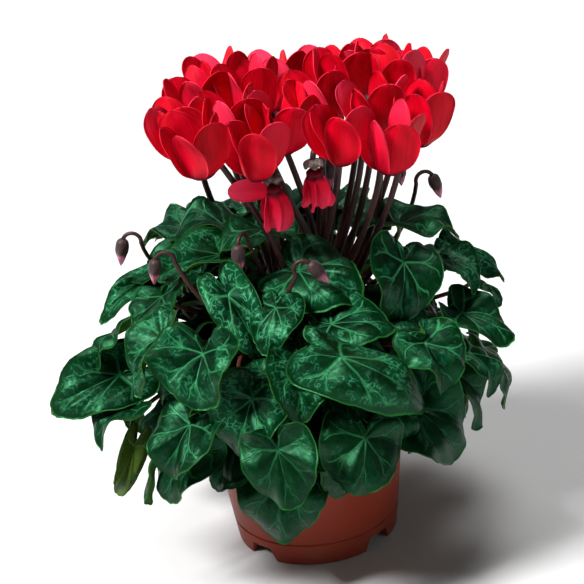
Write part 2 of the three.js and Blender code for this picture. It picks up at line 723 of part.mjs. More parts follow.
const group = new THREE.Group();
group.name = "potted_cyclamen";
for (const [name, [body, colour]] of bodies) {
  const m = body.getMesh();
  const flat = new Float32Array(m.numVert * 3);
  for (let i = 0; i < m.numVert; i++) {
    flat[3 * i] = m.vertProperties[m.numProp * i] + shift.x;
    flat[3 * i + 1] = m.vertProperties[m.numProp * i + 1] + shift.y;
    flat[3 * i + 2] = m.vertProperties[m.numProp * i + 2];
  }
  const g = new THREE.BufferGeometry();
  g.setAttribute("position", new THREE.BufferAttribute(flat, 3));
  g.setIndex(new THREE.BufferAttribute(new Uint32Array(m.triVerts), 1));
  g.computeVertexNormals();
  const mesh = new THREE.Mesh(g, new THREE.MeshStandardMaterial({ color: colour, roughness: 0.7 }));
  mesh.name = name;
  group.add(mesh);
}

export default group;
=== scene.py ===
"""A florist's cyclamen in full flower, in its 10.5 cm nursery pot.

Lengths are millimetres about the pot's axis, with +Z up and the viewer's side at -Y. They go to
metres and to the part's own frame when a mesh is made. A share runs from 0 to 1.
"""

import math
from functools import partialmethod

import bmesh
import bpy
import numpy as np
from mathutils import Matrix, Vector
from mathutils.kdtree import KDTree


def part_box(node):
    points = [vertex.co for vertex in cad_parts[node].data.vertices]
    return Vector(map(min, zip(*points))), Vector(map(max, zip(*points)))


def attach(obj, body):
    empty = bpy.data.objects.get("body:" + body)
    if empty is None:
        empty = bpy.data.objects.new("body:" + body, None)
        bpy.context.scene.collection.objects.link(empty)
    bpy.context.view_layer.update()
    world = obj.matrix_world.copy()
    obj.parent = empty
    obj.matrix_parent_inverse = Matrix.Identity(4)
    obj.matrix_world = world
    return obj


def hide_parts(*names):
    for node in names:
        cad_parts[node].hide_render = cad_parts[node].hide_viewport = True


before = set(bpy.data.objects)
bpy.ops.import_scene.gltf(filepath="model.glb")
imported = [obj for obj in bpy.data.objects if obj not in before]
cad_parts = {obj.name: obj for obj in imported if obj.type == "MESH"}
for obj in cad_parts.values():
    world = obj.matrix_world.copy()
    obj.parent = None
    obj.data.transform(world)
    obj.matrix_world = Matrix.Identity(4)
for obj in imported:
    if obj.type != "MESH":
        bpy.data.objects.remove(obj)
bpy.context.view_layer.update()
MM = 0.001
TURN = 2 * math.pi
PHASES = (0, 6.28)

# ---- pot, soil and tuber ----
RIM_R = 52.5
POT_H = 88.0
BASE_R = 40.6
POT_WALL = 1.5
FOOT_T = 2.2
GROOVE_Z = 11.6
GROOVE_STEP = 0.7
RIM_BAND_H = 8.0
RIM_BAND_T = 0.9
FLOOR_Z = 8.2
FLOOR_T = 1.8
NOTCH_AZ = (-135, -45, 45, 135)
NOTCH_H = 7.5
NOTCH_HALF_DEG = 12.0
NOTCH_SLOPE_DEG = 4.0
DRAIN_R = 3.0
DRAIN_RING_R = 24.0
DRAIN_COUNT = 4
DRAIN_SEGMENTS = 24
POT_SEGMENTS = 144
EDGE_BEVEL = 0.25
BEVEL_FROM_DEG = 50
SOIL_TOP = 79.0
SOIL_GAP = 0.5
SOIL_RINGS = 16
SOIL_SEGMENTS = 110
PIT_R = 22.5
CRUMBS = 420
TUBER_SEGMENTS = 48
# radius and height, bottom to top
TUBER = ((0, 66.6), (14, 67.5), (19.5, 71), (21, 76), (20.3, 80), (17, 83.2), (11, 85.4), (0, 86))

# ---- leaf blades and leaf stalks ----
# every blade faces away from this point
HUB = (0.0, 0.0, 60.0)
# half a heart from its tip to its notch, in shares of its length and of its half width
OUTLINE = [(1, 0), (0.82, 0.47), (0.4, 0.89), (-0.1, 1), (-0.42, 0.68), (-0.38, 0.22), (-0.12, 0)]
EDGE_SWELL = 0.04
TOOTH = 0.02
WAVES = 3
VEINS = 3.5
HALF_STEPS = 40
RINGS = (0.04, 0.14, 0.26, 0.39, 0.52, 0.65, 0.77, 0.87, 0.95, 1.0)
LEAF_T = 0.5
# how far a blade's own forms may stand from its surface, on a blade of this half width
FORM_HALF = 18
PUCKER = 2.0
BROAD_FOLDS = (1.6, 3.6)
FINE_FOLDS = (0.5, 1.5)
WINGS = (-6.0, 6.5)
TIP_CURL = (-8.0, 2.5)
EARS = (-1.0, 4.5)
HEM = (-0.8, -2.6)
YOUNG_HALF_STEPS = 26
YOUNG_RING_SHARES = (0.06, 0.22, 0.4, 0.58, 0.75, 0.9, 1.0)
FIRST_YOUNG_INDEX = 200
YOUNG_SEED = 1000
TIER_SEED = 100
# each leaf carries its index times this number, which its colour reads
LEAF_MARK = 17.0
YOUNG_MARK = LEAF_MARK * FIRST_YOUNG_INDEX
FADING_LEAF = 9
# heights in metres between which the leaves turn darker: painted shade low in the plant
LOW_LEAF_SHADE = (0.08, 0.15)
# a young leaf turns by so many degrees until it clears the flower stalks
YOUNG_TURNS = (0, 6, -6, 12, -12, 18, -18)
STALK_CLEAR = 1.9
CLEAR_HALF_STEPS = 12
CLEAR_RINGS = (0.1, 0.35, 0.6, 0.8, 1.0)
# stalks root on the tuber's crown: its height in the middle, and how much it falls outwards
CROWN_Z = 83
CROWN_FALL = 0.28
PETIOLE_RINGS = (11.4, 14.6, 17.8)
SEAT_DROP = 1.6
SEAT_REACH = 0.2
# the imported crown's leaf stalks, then the finer ones: radius at root and at blade
PETIOLE_R = (1.6, 1.2)
LEAF_STALK_R = (1.35, 1.0)
YOUNG_STALK_R = (1.15, 0.8)
YOUNG_ROOT_R = (9.0, 18.5)
LEAF_STALK_SIDES = 8
LEAF_STALK_STEPS = 22
YOUNG_STALK_SIDES = 6
YOUNG_STALK_STEPS = 14

# ---- blooms ----
PETALS = 5
PETAL_GAP_DEG = (57, 118, 180, 242, 303)
TUBE_H = 7.6
OPENING_TUBE_H = 3.0
# the tube takes the colour that a petal has at this u, v and seed
TUBE_MARK = (0.05, 0.0, 0.5)
TUBE_SIDES = 20
TUBE_ROWS = 7
# a petal's stations: distance from the axis, height, half width, twist in degrees
PETAL = ((4.4, 0, 1.8, 0), (8.2, 6.0, 4.7, 14), (10.2, 17.5, 8.0, 24), (10.4, 26.5, 5.4, 28))
HANGING = ((3.4, 0, 1.6, 0), (4.6, -6.0, 2.6, 20), (4.8, -14.5, 3.6, 34), (3.4, -22.0, 1.8, 44))
# how long the petals of the two opening flowers are by now
HANG_SHARES = (0.84, 0.68)
# one petal of the first has swung out to the side already: its stations, and the way it points
SWUNG = ((1.5, 1.0, 1.5, 0), (2.6, 6.0, 3.2, 4), (2.4, 13.5, 4.6, 8), (0.8, 20.0, 3.4, 12))
SWUNG_WAY = (-1.0, -0.1, 0.12)
SWUNG_BACK = (0.0, 1.0, -0.45)
SWUNG_GAP = 2
PINK_MARK = 0.1352
PETAL_MARK = 0.731
PETAL_ROWS = 18
PETAL_COLUMNS = 11
PETAL_SHEET = 0.45
PETAL_SIZE = (0.94, 1.06)
PETAL_SPLAY = (0.88, 1.12)
PETAL_SPREAD = (1.02, 1.18)
PETAL_TURN_DEG = (-9, 9)
PETAL_CURL = (-1.2, 1.6)
PETAL_LEAN = (-1.0, 4.6)
PETAL_HOLLOW = 0.07
PETAL_TUCK = 1.9
PETAL_FRILL = 0.7
ROUND_FROM = 0.64
ROUND_TO = 0.994

# ---- flower stalks, calyxes and buds ----
# how many stalks root in each ring, and its radius
STALK_RINGS = ((4, 2), (9, 5.1), (99, 8.2))
STALK_R = (1.6, 1.45)
FLOWER_STALK_R = (1.65, 1.35)
BUD_STALK_R = (1.3, 0.95)
FLOWER_STALK_SIDES = 8
# steps up a flower stalk and round its hook: to draw it, and to keep young leaves clear of it
STALK_STEPS = (22, 10)
CLEAR_STEPS = (60, 10)
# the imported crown's own steps, up any stalk and round a hook
PACKED_STEPS = (4, 3)
# the two clumps of flowers turn their backs to these points
CLUMPS = ((-14, 16), (28, 16))
CLUMP_SPLIT_X = 12
CLUMP_MIDDLE_R = 6
HOOK_R = 4.4
CALYX_H = 3.4
CALYX_GAP = 0.3
CALYX_SHEET = 0.6
CALYX_SIDES = 30
# share of the calyx's length, and radius
CALYX = ((0.0, 1.5), (0.12, 2.6), (0.35, 3.7), (0.7, 4.3), (1.0, 4.5))
# radius, and share of the bud's length
BUD = ((1.5, 0.12), (2.9, 0.02), (3.5, -0.18), (3.2, -0.42), (2.5, -0.62), (1.5, -0.84), (0.3, -1.03))
BUD_L = 12.0
BUD_GIRTH = 0.9318
BUD_ROWS = 19
BUD_SIDES = 20

# One row a leaf: junction x y z, tip x y z, half width, roll, fold, arch, wave.
LEAVES = [
    # left flank, top to bottom
    (-38, 4, 160, -58, -12, 158, 15, 0, 12, 2, 2),
    (-28, 10, 166, -49, -10, 163, 14, -10, 14, 2, 2),
    (-69, -8, 148, -92, -20, 136, 8.5, -40, 22, 2, 1.5),
    (-31, -22, 163, -61, -36, 163, 16, -8, 10, 2, 2.5),
    (-60, -28, 148, -66, -50, 137, 15, 0, 8, 2, 1.5),
    (-77, -24, 132, -97, -35, 122, 14, 24, 26, 2, 2.5),
    (-85, -34, 113, -118, -44, 104, 17, -35, 10, 3, 2.5),
    (-61, -57, 142, -75, -69, 119, 14, 14, 20, 3, 2),
    (-82, -48, 102, -99, -58, 94, 13, 6, 8, 3, 2),
    (-81, -56, 86, -92, -60, 63, 7, -60, 20, 2, 1.5),
    (-70, -64, 84, -76, -66, 60, 6.5, 52, 20, 2, 1.5),
    (-54, -62, 86, -70, -70, 64, 16, 0, 8, 3, 2),
    # front, top to bottom
    (-9, -10, 168, -30, -32, 171, 14, 6, 6, 2, 3.5),
    (-29, -48, 154, -16, -62, 126, 12, -6, 22, 3, 2),
    (-8, -58, 150, -15, -71, 134, 12, 0, -14, 2, 2.5),
    (-42, -76, 140, -49, -91, 122, 22, 4, 28, 1, 3),
    (-52, -79, 107, -65, -88, 87, 17, 0, 10, 3, 3),
    (-23, -82, 118, -32, -92, 94, 17, 0, 8, 3, 3),
    (-15, -70, 123, -19, -80, 110, 8, 40, 24, 1, 1),
    (-31, -60, 81, -46, -67, 65, 13, 0, 8, 2, 2),
    (-14, -100, 101, -10, -105, 75, 17, 0, 10, 3, 2),
    (2, -74, 88, 13, -84, 80, 12, 0, 8, 2, 2),
    (-14, -70, 68, -20, -74, 37, 21, 0, 6, 3, 2),
    (25, -88, 95, 19, -98, 72, 20, 0, -16, 3, 2.5),
    (17, -74, 82, 10, -78, 58, 14, 0, 8, 2, 2),
    (0, -74, 128, -3, -90, 108, 15.5, 0, 22, 3, 2.5),
    (18, -88, 137, 55, -98, 115, 18, -8, -30, 4, 2.5),
    (41, -68, 99, 45, -76, 83, 10, 10, 10, 2, 1.5),
    # right flank, top to bottom
    (54, 4, 157, 81, -10, 156, 16, 10, 12, 3, 2),
    (83, 14, 136, 104, 6, 121, 9, 30, 20, 2, 1.5),
    (88, 2, 125, 101, -8, 116, 8, 0, 10, 1, 1),
    (4, -32, 155, 31, -49, 146, 19, 18, 10, 3, 2.5),
    (53, -27, 151, 46, -46, 129, 18, 0, 8, 3, 3),
    (77, -6, 140, 87, -20, 130, 11, 20, 8, 2, 1.5),
    (16, -55, 137, 44, -65, 137, 16, -10, 6, 2, 3),
    (56, -72, 131, 66, -84, 114, 17, 0, 24, 2, 3),
    (79, -24, 120, 100, -34, 106, 14, 20, 12, 3, 2.5),
    (79, -38, 106, 92, -48, 92, 12, 0, 12, 2, 2),
    (88, -12, 92, 101, -22, 68, 15, -10, 14, 3, 2),
    (72, -34, 94, 84, -42, 68, 14, 0, 10, 2, 2),
    (50, -60, 92, 70, -68, 68, 20, 6, 8, 4, 3),
]
# One row a tier: count, first and last azimuth, radius, height, length, half width, dip in degrees.
TIERS = [
    (6, 8, 172, 82, 80, 29, 18, 52),
    (5, 22, 158, 76, 114, 30, 19, 30),
    (4, 34, 150, 54, 145, 28, 17, 12),
    (5, 196, 344, 53, 104, 27, 16, 40),
]
# Young leaves among them, a row a ring in the same order.
YOUNG_RINGS = [
    (17, 0, 360, 66, 88, 24, 13, 52),
    (15, 10, 370, 63, 112, 24, 13, 40),
    (13, 5, 365, 52, 131, 22, 12, 28),
    (10, 15, 375, 36, 142, 20, 11, 18),
    (13, 0, 360, 50, 97, 22, 12, 48),
    (9, 5, 175, 31, 163, 26, 15, 4),
    (8, -5, 185, 50, 154, 28, 15, 8),
    (5, 190, 350, 26, 150, 22, 12, 4),
]
# One row a bloom: mouth x y z, lean of its axis in degrees and its bearing, opening.
BLOOMS = [
    (-33, -42, 211, 8, 225, 1.0),
    (-9, -44, 208, 8, 265, 1.0),
    (-39, -17, 210, 10, 185, 1.0),
    (-20, -19, 212, 4, 250, 1.0),
    (3, -23, 211, 8, 310, 1.0),
    (-32, 8, 214, 8, 150, 1.0),
    (-9, 6, 217, 2, 90, 1.0),
    (-23, 33, 213, 8, 110, 1.0),
    (1, 31, 211, 6, 90, 1.0),
    (29, -42, 210, 8, 260, 1.0),
    (50, -42, 203, 8, 290, 1.0),
    (22, -11, 215, 3, 200, 1.0),
    (46, -17, 212, 2, 280, 1.0),
    (65, -20, 206, 6, 335, 1.0),
    (32, 12, 217, 2, 90, 1.0),
    (56, 7, 214, 6, 30, 1.0),
    (31, 38, 209, 6, 80, 0.9),
    (49, 32, 212, 4, 80, 0.85),
    (68, 21, 208, 10, 30, 0.95),
]
# Two flowers still opening, their petals hanging: calyx x y z, bearing of the stalk, opening.
OPENING = [
    (-3, -34, 197, 80, 1.0),
    (16, -34, 202, 60, 0.8),
]
# Closed buds on hooked stalks: calyx x y z, bearing of the hook's foot, lean of the bud, size.
BUDS = [
    (-77, -2, 167, -4, 12, 1.0),
    (-60, -42, 172, 0, 10, 0.9),
    (10, -51, 166, 176, 35, 1.0),
    (-22, -41, 174, 60, 5, 1.0),
    (74, 20, 173, 190, 15, 0.95),
    (58, 14, 184, 180, 0, 0.9),
    (24, 2, 192, 100, 0, 0.9),
]
FIRST_OPENING_INDEX = 60
FIRST_BUD_INDEX = 80

# ---- camera: stands off the pot's axis, tipped down to a point on it and rolled ----
CAMERA_AT = (0.0, -800.0, 500.0)
CAMERA_TARGET_Z = 130.0
CAMERA_ROLL_DEG = 6.5
CAMERA_LENS = 112.5

# ---- studio, in metres: pale walls under a darker ceiling, and a floor that fades out ----
WALL_LIGHT = 0.23
CEILING_LIGHT = 0.05
CEILING_FROM = 0.5
FLOOR_R = 6.0
FLOOR_GREY = 0.6
FLOOR_FADE = (1.1, 2.6)
LAMPS = (("key", (-1.9, -1.0, 3.0), 0.9, 252.0), ("fill", (1.6, -1.6, 0.9), 1.0, 4.0),
         ("top", (0.3, 0.9, 2.8), 1.4, 55.0))
LAMPS_AIM = (0, 0, 0.13)


def V(x, y, z):
    return np.array([float(x), float(y), float(z)])


UP = V(0, 0, 1)


def unit(v):
    return v / np.linalg.norm(v)


def draw(a, b):
    """A seeded draw from 0 to 1."""
    s = math.sin(a * 12.9898 + b * 78.233) * 43758.5453
    return s - math.floor(s)


def chance(seed, number, low, high):
    return low + (high - low) * draw(seed, number)


def around(count):
    """So many even angles round a circle."""
    return TURN * np.arange(count) / count


def level(angle):
    """A level direction."""
    return V(math.cos(angle), math.sin(angle), 0)


def leaning(lean, bearing):
    """An upright that leans so many degrees towards a bearing."""
    lean = math.radians(lean)
    return UP * math.cos(lean) + level(math.radians(bearing)) * math.sin(lean)


def without_part_along(v, axis):
    return v - axis * np.dot(v, axis)


def turned(v, axis, angle):
    return np.array(Matrix.Rotation(angle, 3, Vector(axis)) @ Vector(v))


def smooth(x, low, high):
    t = np.clip((x - low) / (high - low), 0, 1)
    return t * t * (3 - 2 * t)


def bezier(p0, p1, p2, p3, steps):
    t = np.linspace(0, 1, steps + 1)[:, None]
    return (1 - t) ** 3 * p0 + 3 * t * (1 - t) ** 2 * p1 + 3 * t * t * (1 - t) * p2 + t**3 * p3


def curve_between(a, b, c, d, t):
    """The smooth curve through four points, read between the second and the third."""
    return 0.5 * (2 * b + (c - a) * t + (2 * a - 5 * b + 4 * c - d) * t**2 + (3 * b - a - 3 * c + d) * t**3)


def spline(stations, at):
    """A smooth curve through the stations, each a row of numbers, read at the places asked for."""
    rows = np.array(stations, float)
    last = len(rows) - 1
    x = np.clip(at, 0, 1) * last
    i = np.minimum(x.astype(int), last - 1)
    padded = np.vstack([2 * rows[0] - rows[1], rows, 2 * rows[-1] - rows[-2]])
    return curve_between(*(padded[i + k] for k in range(4)), (x - i)[:, None]).T


# ---- meshes ----
pot_low, pot_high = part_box("pot")
POT_AXIS = V((pot_low.x + pot_high.x) / 2, (pot_low.y + pot_high.y) / 2, 0)


def in_frame(p):
    return Vector(np.asarray(p) * MM + POT_AXIS)


def linked(name, data):
    """A new object in the scene."""
    made = bpy.data.objects.new(name, data)
    bpy.context.scene.collection.objects.link(made)
    return made


def place(name, mesh, material, replaced=()):
    """A mesh becomes a smooth piece of the model, with its finish."""
    mesh.polygons.foreach_set("use_smooth", np.ones(len(mesh.polygons), bool))
    mesh.materials.append(material)
    piece = linked(name, mesh)
    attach(piece, "root")
    if replaced:
        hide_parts(*replaced)
    return piece


class Shell:
    """Gathers closed solids into one mesh that carries named marks at its vertices."""

    def __init__(self):
        self.points = []
        self.faces = []
        self.marks = {}
        self.count = 0

    def add(self, points, faces, **marks):
        points = points.reshape(-1, 3)
        self.points.append(points)
        self.faces += [tuple(self.count + i for i in face) for face in faces]
        for name, values in marks.items():
            self.marks.setdefault(name, []).append(values)
        self.count += len(points)

    def build(self, name, material, slot, replaced=()):
        mesh = bpy.data.meshes.new(name)
        points = np.vstack(self.points) * MM + POT_AXIS
        mesh.from_pydata(points.tolist(), [], self.faces)
        for mark, values in self.marks.items():
            layer = mesh.attributes.new(mark, "FLOAT_VECTOR", "POINT")
            layer.data.foreach_set("vector", np.vstack(values).astype(np.float32).ravel())
        mesh.update()
        place(name, mesh, material, replaced)


def grid_faces(rows, columns, wrap, first=0, flip=False):
    faces = []
    for i in range(rows - 1):
        for k in range(columns if wrap else columns - 1):
            n = (k + 1) % columns
            a, b = first + i * columns + k, first + i * columns + n
            c, d = b + columns, a + columns
            faces.append((a, d, c, b) if flip else (a, b, c, d))
    return faces


def tube_faces(rings, sides):
    """The faces of a round bar, closed at both ends."""
    foot = tuple(range(sides))[::-1]
    head = tuple((rings - 1) * sides + k for k in range(sides))
    return [*grid_faces(rings, sides, True), foot, head]


def sheet(grid, thickness, wrap, facing):
    """A grid of points as a closed sheet. The side that looks along facing comes first. A grid
    that wraps is a disc or a tube, and its first ring is filled in."""
    rows, columns = grid.shape[:2]
    along = np.gradient(grid, axis=0)
    if wrap:
        across = (np.roll(grid, -1, axis=1) - np.roll(grid, 1, axis=1)) / 2
    else:
        across = np.gradient(grid, axis=1)
    normal = np.cross(across, along)
    normal /= np.maximum(np.linalg.norm(normal, axis=2, keepdims=True), 1e-9)
    turn = np.sum(normal * facing) < 0
    if turn:
        normal = -normal
    half = thickness / 2
    points = np.vstack([(grid + normal * half).reshape(-1, 3), (grid - normal * half).reshape(-1, 3)])
    size = rows * columns
    faces = grid_faces(rows, columns, wrap, 0, turn) + grid_faces(rows, columns, wrap, size, not turn)
    head = list(range(columns))
    foot = list(range(size - columns, size))
    if wrap:
        edge = foot
        near, far = (head, head[::-1]) if turn else (head[::-1], head)
        faces += [tuple(near), tuple(size + i for i in far)]
    else:
        left = list(range(0, size, columns))
        right = list(range(columns - 1, size, columns))
        edge = left[:0:-1] + head[:-1] + right[:-1] + foot[:0:-1]
    for a, b in zip(edge, edge[1:] + edge[:1]):
        quad = (a, b, size + b, size + a)
        faces.append(quad if turn == wrap else quad[::-1])
    return points, faces


def sweep(points, radii, sides):
    """The rings of a round bar through a list of points."""
    tangents = np.gradient(points, axis=0)
    tangents /= np.linalg.norm(tangents, axis=1, keepdims=True)
    side = V(1, 0, 0) if abs(tangents[0][0]) < 0.9 else V(0, 1, 0)
    angles = around(sides)[:, None]
    rings = []
    for p, t, r in zip(points, tangents, radii):
        side = unit(without_part_along(side, t))
        rings.append(p + r * (np.cos(angles) * side + np.sin(angles) * np.cross(t, side)))
    return np.vstack(rings)


def lathe(profile, segments):
    """A closed turned body from a profile of radius and height, bottom middle to top middle."""
    body = bmesh.new()
    rings = []
    for r, z in profile:
        angles = around(segments) if r else [0]
        rings.append([body.verts.new((r * math.cos(q), r * math.sin(q), z)) for q in angles])
    for low, high in zip(rings, rings[1:]):
        for k in range(segments):
            n = (k + 1) % segments
            corners = [low[k % len(low)], low[n % len(low)], high[n % len(high)], high[k % len(high)]]
            kept = [v for i, v in enumerate(corners) if v not in corners[:i]]
            if len(kept) > 2:
                body.faces.new(kept)
    bmesh.ops.recalc_face_normals(body, faces=body.faces)
    return body


def mesh_of(body, name):
    """A body made about the pot's axis in millimetres becomes a mesh in the part's frame."""
    for v in body.verts:
        v.co = v.co * MM + Vector(POT_AXIS)
    mesh = bpy.data.meshes.new(name)
    body.to_mesh(mesh)
    body.free()
    return mesh


# ---- materials ----
def srgb(r, g, b):
    """A colour from its 0 to 255 display values."""
    def linear(c):
        c /= 255
        return c / 12.92 if c <= 0.04045 else ((c + 0.055) / 1.055) ** 2.4
    return (linear(r), linear(g), linear(b), 1.0)


class Wire:
    """A value in a material, so that shader maths reads as Python."""

    def __init__(self, finish, socket):
        self.finish = finish
        self.socket = socket

    def maths(self, operation, *others):
        inputs = dict(enumerate((self, *others)))
        return self.finish.node("ShaderNodeMath", {"operation": operation}, inputs)

    def reflected(self, operation, number):
        """The same with a number before the value, as in 1 - mask."""
        return self.finish.node("ShaderNodeMath", {"operation": operation}, {0: number, 1: self})

    __add__ = partialmethod(maths, "ADD")
    __sub__ = partialmethod(maths, "SUBTRACT")
    __mul__ = partialmethod(maths, "MULTIPLY")
    __pow__ = partialmethod(maths, "POWER")
    __radd__ = partialmethod(reflected, "ADD")
    __rsub__ = partialmethod(reflected, "SUBTRACT")
    __rmul__ = partialmethod(reflected, "MULTIPLY")
    __rpow__ = partialmethod(reflected, "POWER")
    absolute = partialmethod(maths, "ABSOLUTE")
    fraction = partialmethod(maths, "FRACT")
    greater = partialmethod(maths, "MAXIMUM")
    pingpong = partialmethod(maths, "PINGPONG")

    def step(self, low, high, start=0.0, end=1.0):
        """Runs smoothly from start to end as the value goes from low to high."""
        inputs = {"Value": self, "From Min": low, "From Max": high, "To Min": start, "To Max": end}
        return self.finish.node("ShaderNodeMapRange", {"interpolation_type": "SMOOTHSTEP"}, inputs)

    def fall(self, low, high):
        """Runs smoothly from 1 to 0 as the value goes from low to high."""
        return self.step(low, high, 1.0, 0.0)


class Nodes:
    """The nodes of a material or of the world."""

    def __init__(self, owner):
        owner.use_nodes = True
        self.tree = owner.node_tree

    def node(self, kind, settings=None, inputs=None, output=0):
        made = self.tree.nodes.new(kind)
        for key, value in (settings or {}).items():
            setattr(made, key, value)
        for key, value in (inputs or {}).items():
            self.feed(made.inputs[key], value)
        return Wire(self, made.outputs[output])

    def feed(self, socket, value):
        if isinstance(value, Wire):
            self.tree.links.new(value.socket, socket)
        else:
            socket.default_value = value

    def parts(self, vector):
        split = self.node("ShaderNodeSeparateXYZ", None, {0: vector}).socket.node
        return [Wire(self, split.outputs[k]) for k in range(3)]

    def place(self, kind="Object"):
        """The point on the object, in metres. For the sky's directions the kind is Generated."""
        return self.node("ShaderNodeTexCoord", None, None, kind)


class Finish(Nodes):
    """A material with its colour, its roughness and its relief."""

    def __init__(self, name, **constants):
        self.material = bpy.data.materials.new(name)
        super().__init__(self.material)
        self.shader = next(n for n in self.tree.nodes if n.type == "BSDF_PRINCIPLED")
        for socket, value in constants.items():
            self.shader.inputs[socket.replace("_", " ")].default_value = value

    def mark(self, name):
        """The vector that a mesh carries under this name."""
        return self.node("ShaderNodeAttribute", {"attribute_name": name}, None, "Vector")

    def noise(self, vector, scale, detail=3.0, rough=0.5, distortion=0.0):
        """Cloudy noise. A scale of three numbers stretches it."""
        if isinstance(scale, tuple):
            inputs = {0: vector, 1: scale}
            vector, scale = self.node("ShaderNodeVectorMath", {"operation": "MULTIPLY"}, inputs), 1.0
        inputs = {"Vector": vector, "Scale": scale, "Detail": detail,
                  "Roughness": rough, "Distortion": distortion}
        return self.node("ShaderNodeTexNoise", None, inputs, "Fac")

    def cells(self, vector, scale):
        """How far a point is from the edge of its cell in an even net."""
        inputs = {"Vector": vector, "Scale": scale}
        return self.node("ShaderNodeTexVoronoi", {"feature": "DISTANCE_TO_EDGE"}, inputs, "Distance")

    def blend(self, share, *colours):
        """Two colours mixed. Each is a wire, or its 0 to 255 display values."""
        first, second = (srgb(*colour) if isinstance(colour, tuple) else colour for colour in colours)
        inputs = {"Factor": share, 6: first, 7: second}
        return self.node("ShaderNodeMix", {"data_type": "RGBA"}, inputs, 2)

    def coats(self, base, *coats):
        """Coats of colour over a base, each after the share of it that shows."""
        for share, colour in coats:
            base = self.blend(share, base, colour)
        return base

    def bump(self, height, distance, strength):
        inputs = {"Height": height, "Distance": distance, "Strength": strength}
        self.feed(self.shader.inputs["Normal"], self.node("ShaderNodeBump", None, inputs))

    def colour(self, value):
        self.feed(self.shader.inputs["Base Color"], value)

    def roughness(self, value):
        self.feed(self.shader.inputs["Roughness"], value)


def leaf_finish():
    f = Finish("marbled_leaf", Specular_IOR_Level=0.32, Specular_Tint=(0.22, 0.95, 0.46, 1.0))
    blade = f.mark("blade")
    # t runs round half the leaf from tip to notch, s out from the leaf stalk to the margin
    t, s, under = f.parts(f.mark("polar"))
    leaf = f.parts(blade)[2]
    own = (leaf * 0.0619).fraction()
    silvered = (leaf * 0.0437 + 0.3).fraction()
    wander = f.noise(blade, 0.10, 2.0)
    apart = (t * VEINS + (wander - 0.5) * 0.8 * s).pingpong(0.5)
    # the palm veins run out from the leaf stalk, fork half way, and fade before the margin
    trunk = (apart * s * 9.0 + s * 0.12).fall(0.14, 0.36) * s.fall(0.5, 0.8)
    fork = (apart - s.step(0.35, 1.05) * 0.27).absolute() * s * 9.0
    fork = fork.fall(0.08, 0.30) * s.step(0.42, 0.5) * s.fall(0.8, 0.95)
    vein = trunk.greater(fork)
    net = f.cells(blade, 0.24)
    netting = net.fall(0.0, 0.09) * s.step(0.12, 0.3)
    # a silver zone lies between the middle and the margin, broken up, with paler curls in it
    patches = f.noise(blade, 0.13, 3.0, 0.6, 0.4)
    zone = s.step(0.25, 0.55) * s.fall(0.84, 0.96)
    silver = (patches + silvered * 0.16).step(0.50, 0.66) * zone
    curls = (f.noise(blade, 0.30, 1.0, 0.5, 0.5) - 0.5).absolute().fall(0.012, 0.05) * silver
    fleck = f.noise(blade, 0.9, 3.0, 0.6)
    tone = f.noise(blade, 0.06, 1.0).step(0.3, 0.7)
    emerald = f.blend(tone, (0, 5, 1), (0, 30, 4))
    teal = f.blend(tone, (0, 5, 2), (0, 23, 9))
    # painted shade: the leaves low in the plant turn darker, and their veins dim there
    low = f.parts(f.place())[2].fall(*LOW_LEAF_SHADE)
    # painted shade: the young leaves that fill the gaps between the large ones are darker
    young = leaf.step(YOUNG_MARK - 200.0, YOUNG_MARK - 100.0)
    fading = (leaf - LEAF_MARK * FADING_LEAF).absolute().fall(2.0, 4.0)
    green = f.coats(
        f.blend(own.step(0.2, 0.8), emerald, teal),
        (s.step(0.5, 1.0) * 0.30, (0, 54, 17)),
        (silver * (0.06 + fleck * 0.34), (14, 104, 64)),
        (curls * (0.14 + silvered * 0.38), (80, 164, 118)),
        (netting * 0.10, (4, 88, 32)),
        (low * 0.8, (0, 22, 4)),
        (vein * (0.22 + own * 0.30) * (1 - low * 0.4), (58, 148, 92)),
        (s.step(0.955, 0.99) * 0.40, (44, 116, 48)),
        (young * 0.6, (0, 16, 7)),
        (fading * 0.62, (70, 84, 18)),
    )
    pale = f.blend(vein * 0.5, (48, 88, 30), (100, 130, 68))
    f.colour(f.blend(under, green, pale))
    f.roughness(0.36 + fleck * 0.10 + under * 0.22)
    f.bump(net.step(0.0, 0.35) * 0.16 + fleck * 0.05 - vein * 0.5, 0.0006, 0.8)
    return f.material


def petal_finish():
    f = Finish("red_petal", Roughness=0.5, Specular_IOR_Level=0.10)
    petal = f.mark("petal")
    # u runs up the petal, v across it from edge to edge
    u, v, seed = f.parts(petal)
    streaks = f.noise(petal, (2.0, 16.0, 9.0))
    cloud = f.noise(petal, 1.7, 2.0)
    own = (seed * 7.31).fraction()
    # painted light: the petals' edges turn pale pink as if lit through from behind
    rim_light = v.absolute().step(0.88, 1.0).greater(u.step(0.95, 1.0))
    # painted light: the upper part of some petals glows pink as if lit through
    glow = own.step(0.66, 1.0) * u.step(0.35, 1.0)
    f.colour(f.coats(
        f.blend(cloud.step(0.3, 0.7), (184, 0, 20), (214, 0, 36)),
        (own.step(0.55, 1.0) * 0.75, (226, 6, 52)),
        (streaks.step(0.5, 0.75) * 0.40, (158, 0, 18)),
        (rim_light * (0.03 + own * 0.22), (255, 70, 112)),
        (glow * 0.62, (255, 70, 108)),
        (u.fall(0.02, 0.26), (84, 0, 22)),
    ))
    f.bump(streaks, 0.0004, 0.6)
    return f.material


def stalk_finish():
    f = Finish("stalk", Roughness=0.45, Specular_IOR_Level=0.3)
    grain = f.noise(f.mark("stem"), (40.0, 1.5, 5.0))
    brown = f.blend(f.noise(f.place(), 60.0, 2.0), (34, 15, 16), (62, 30, 27))
    f.colour(f.blend(grain.step(0.5, 0.8) * 0.4, brown, (92, 58, 46)))
    f.bump(grain, 0.0004, 0.5)
    return f.material


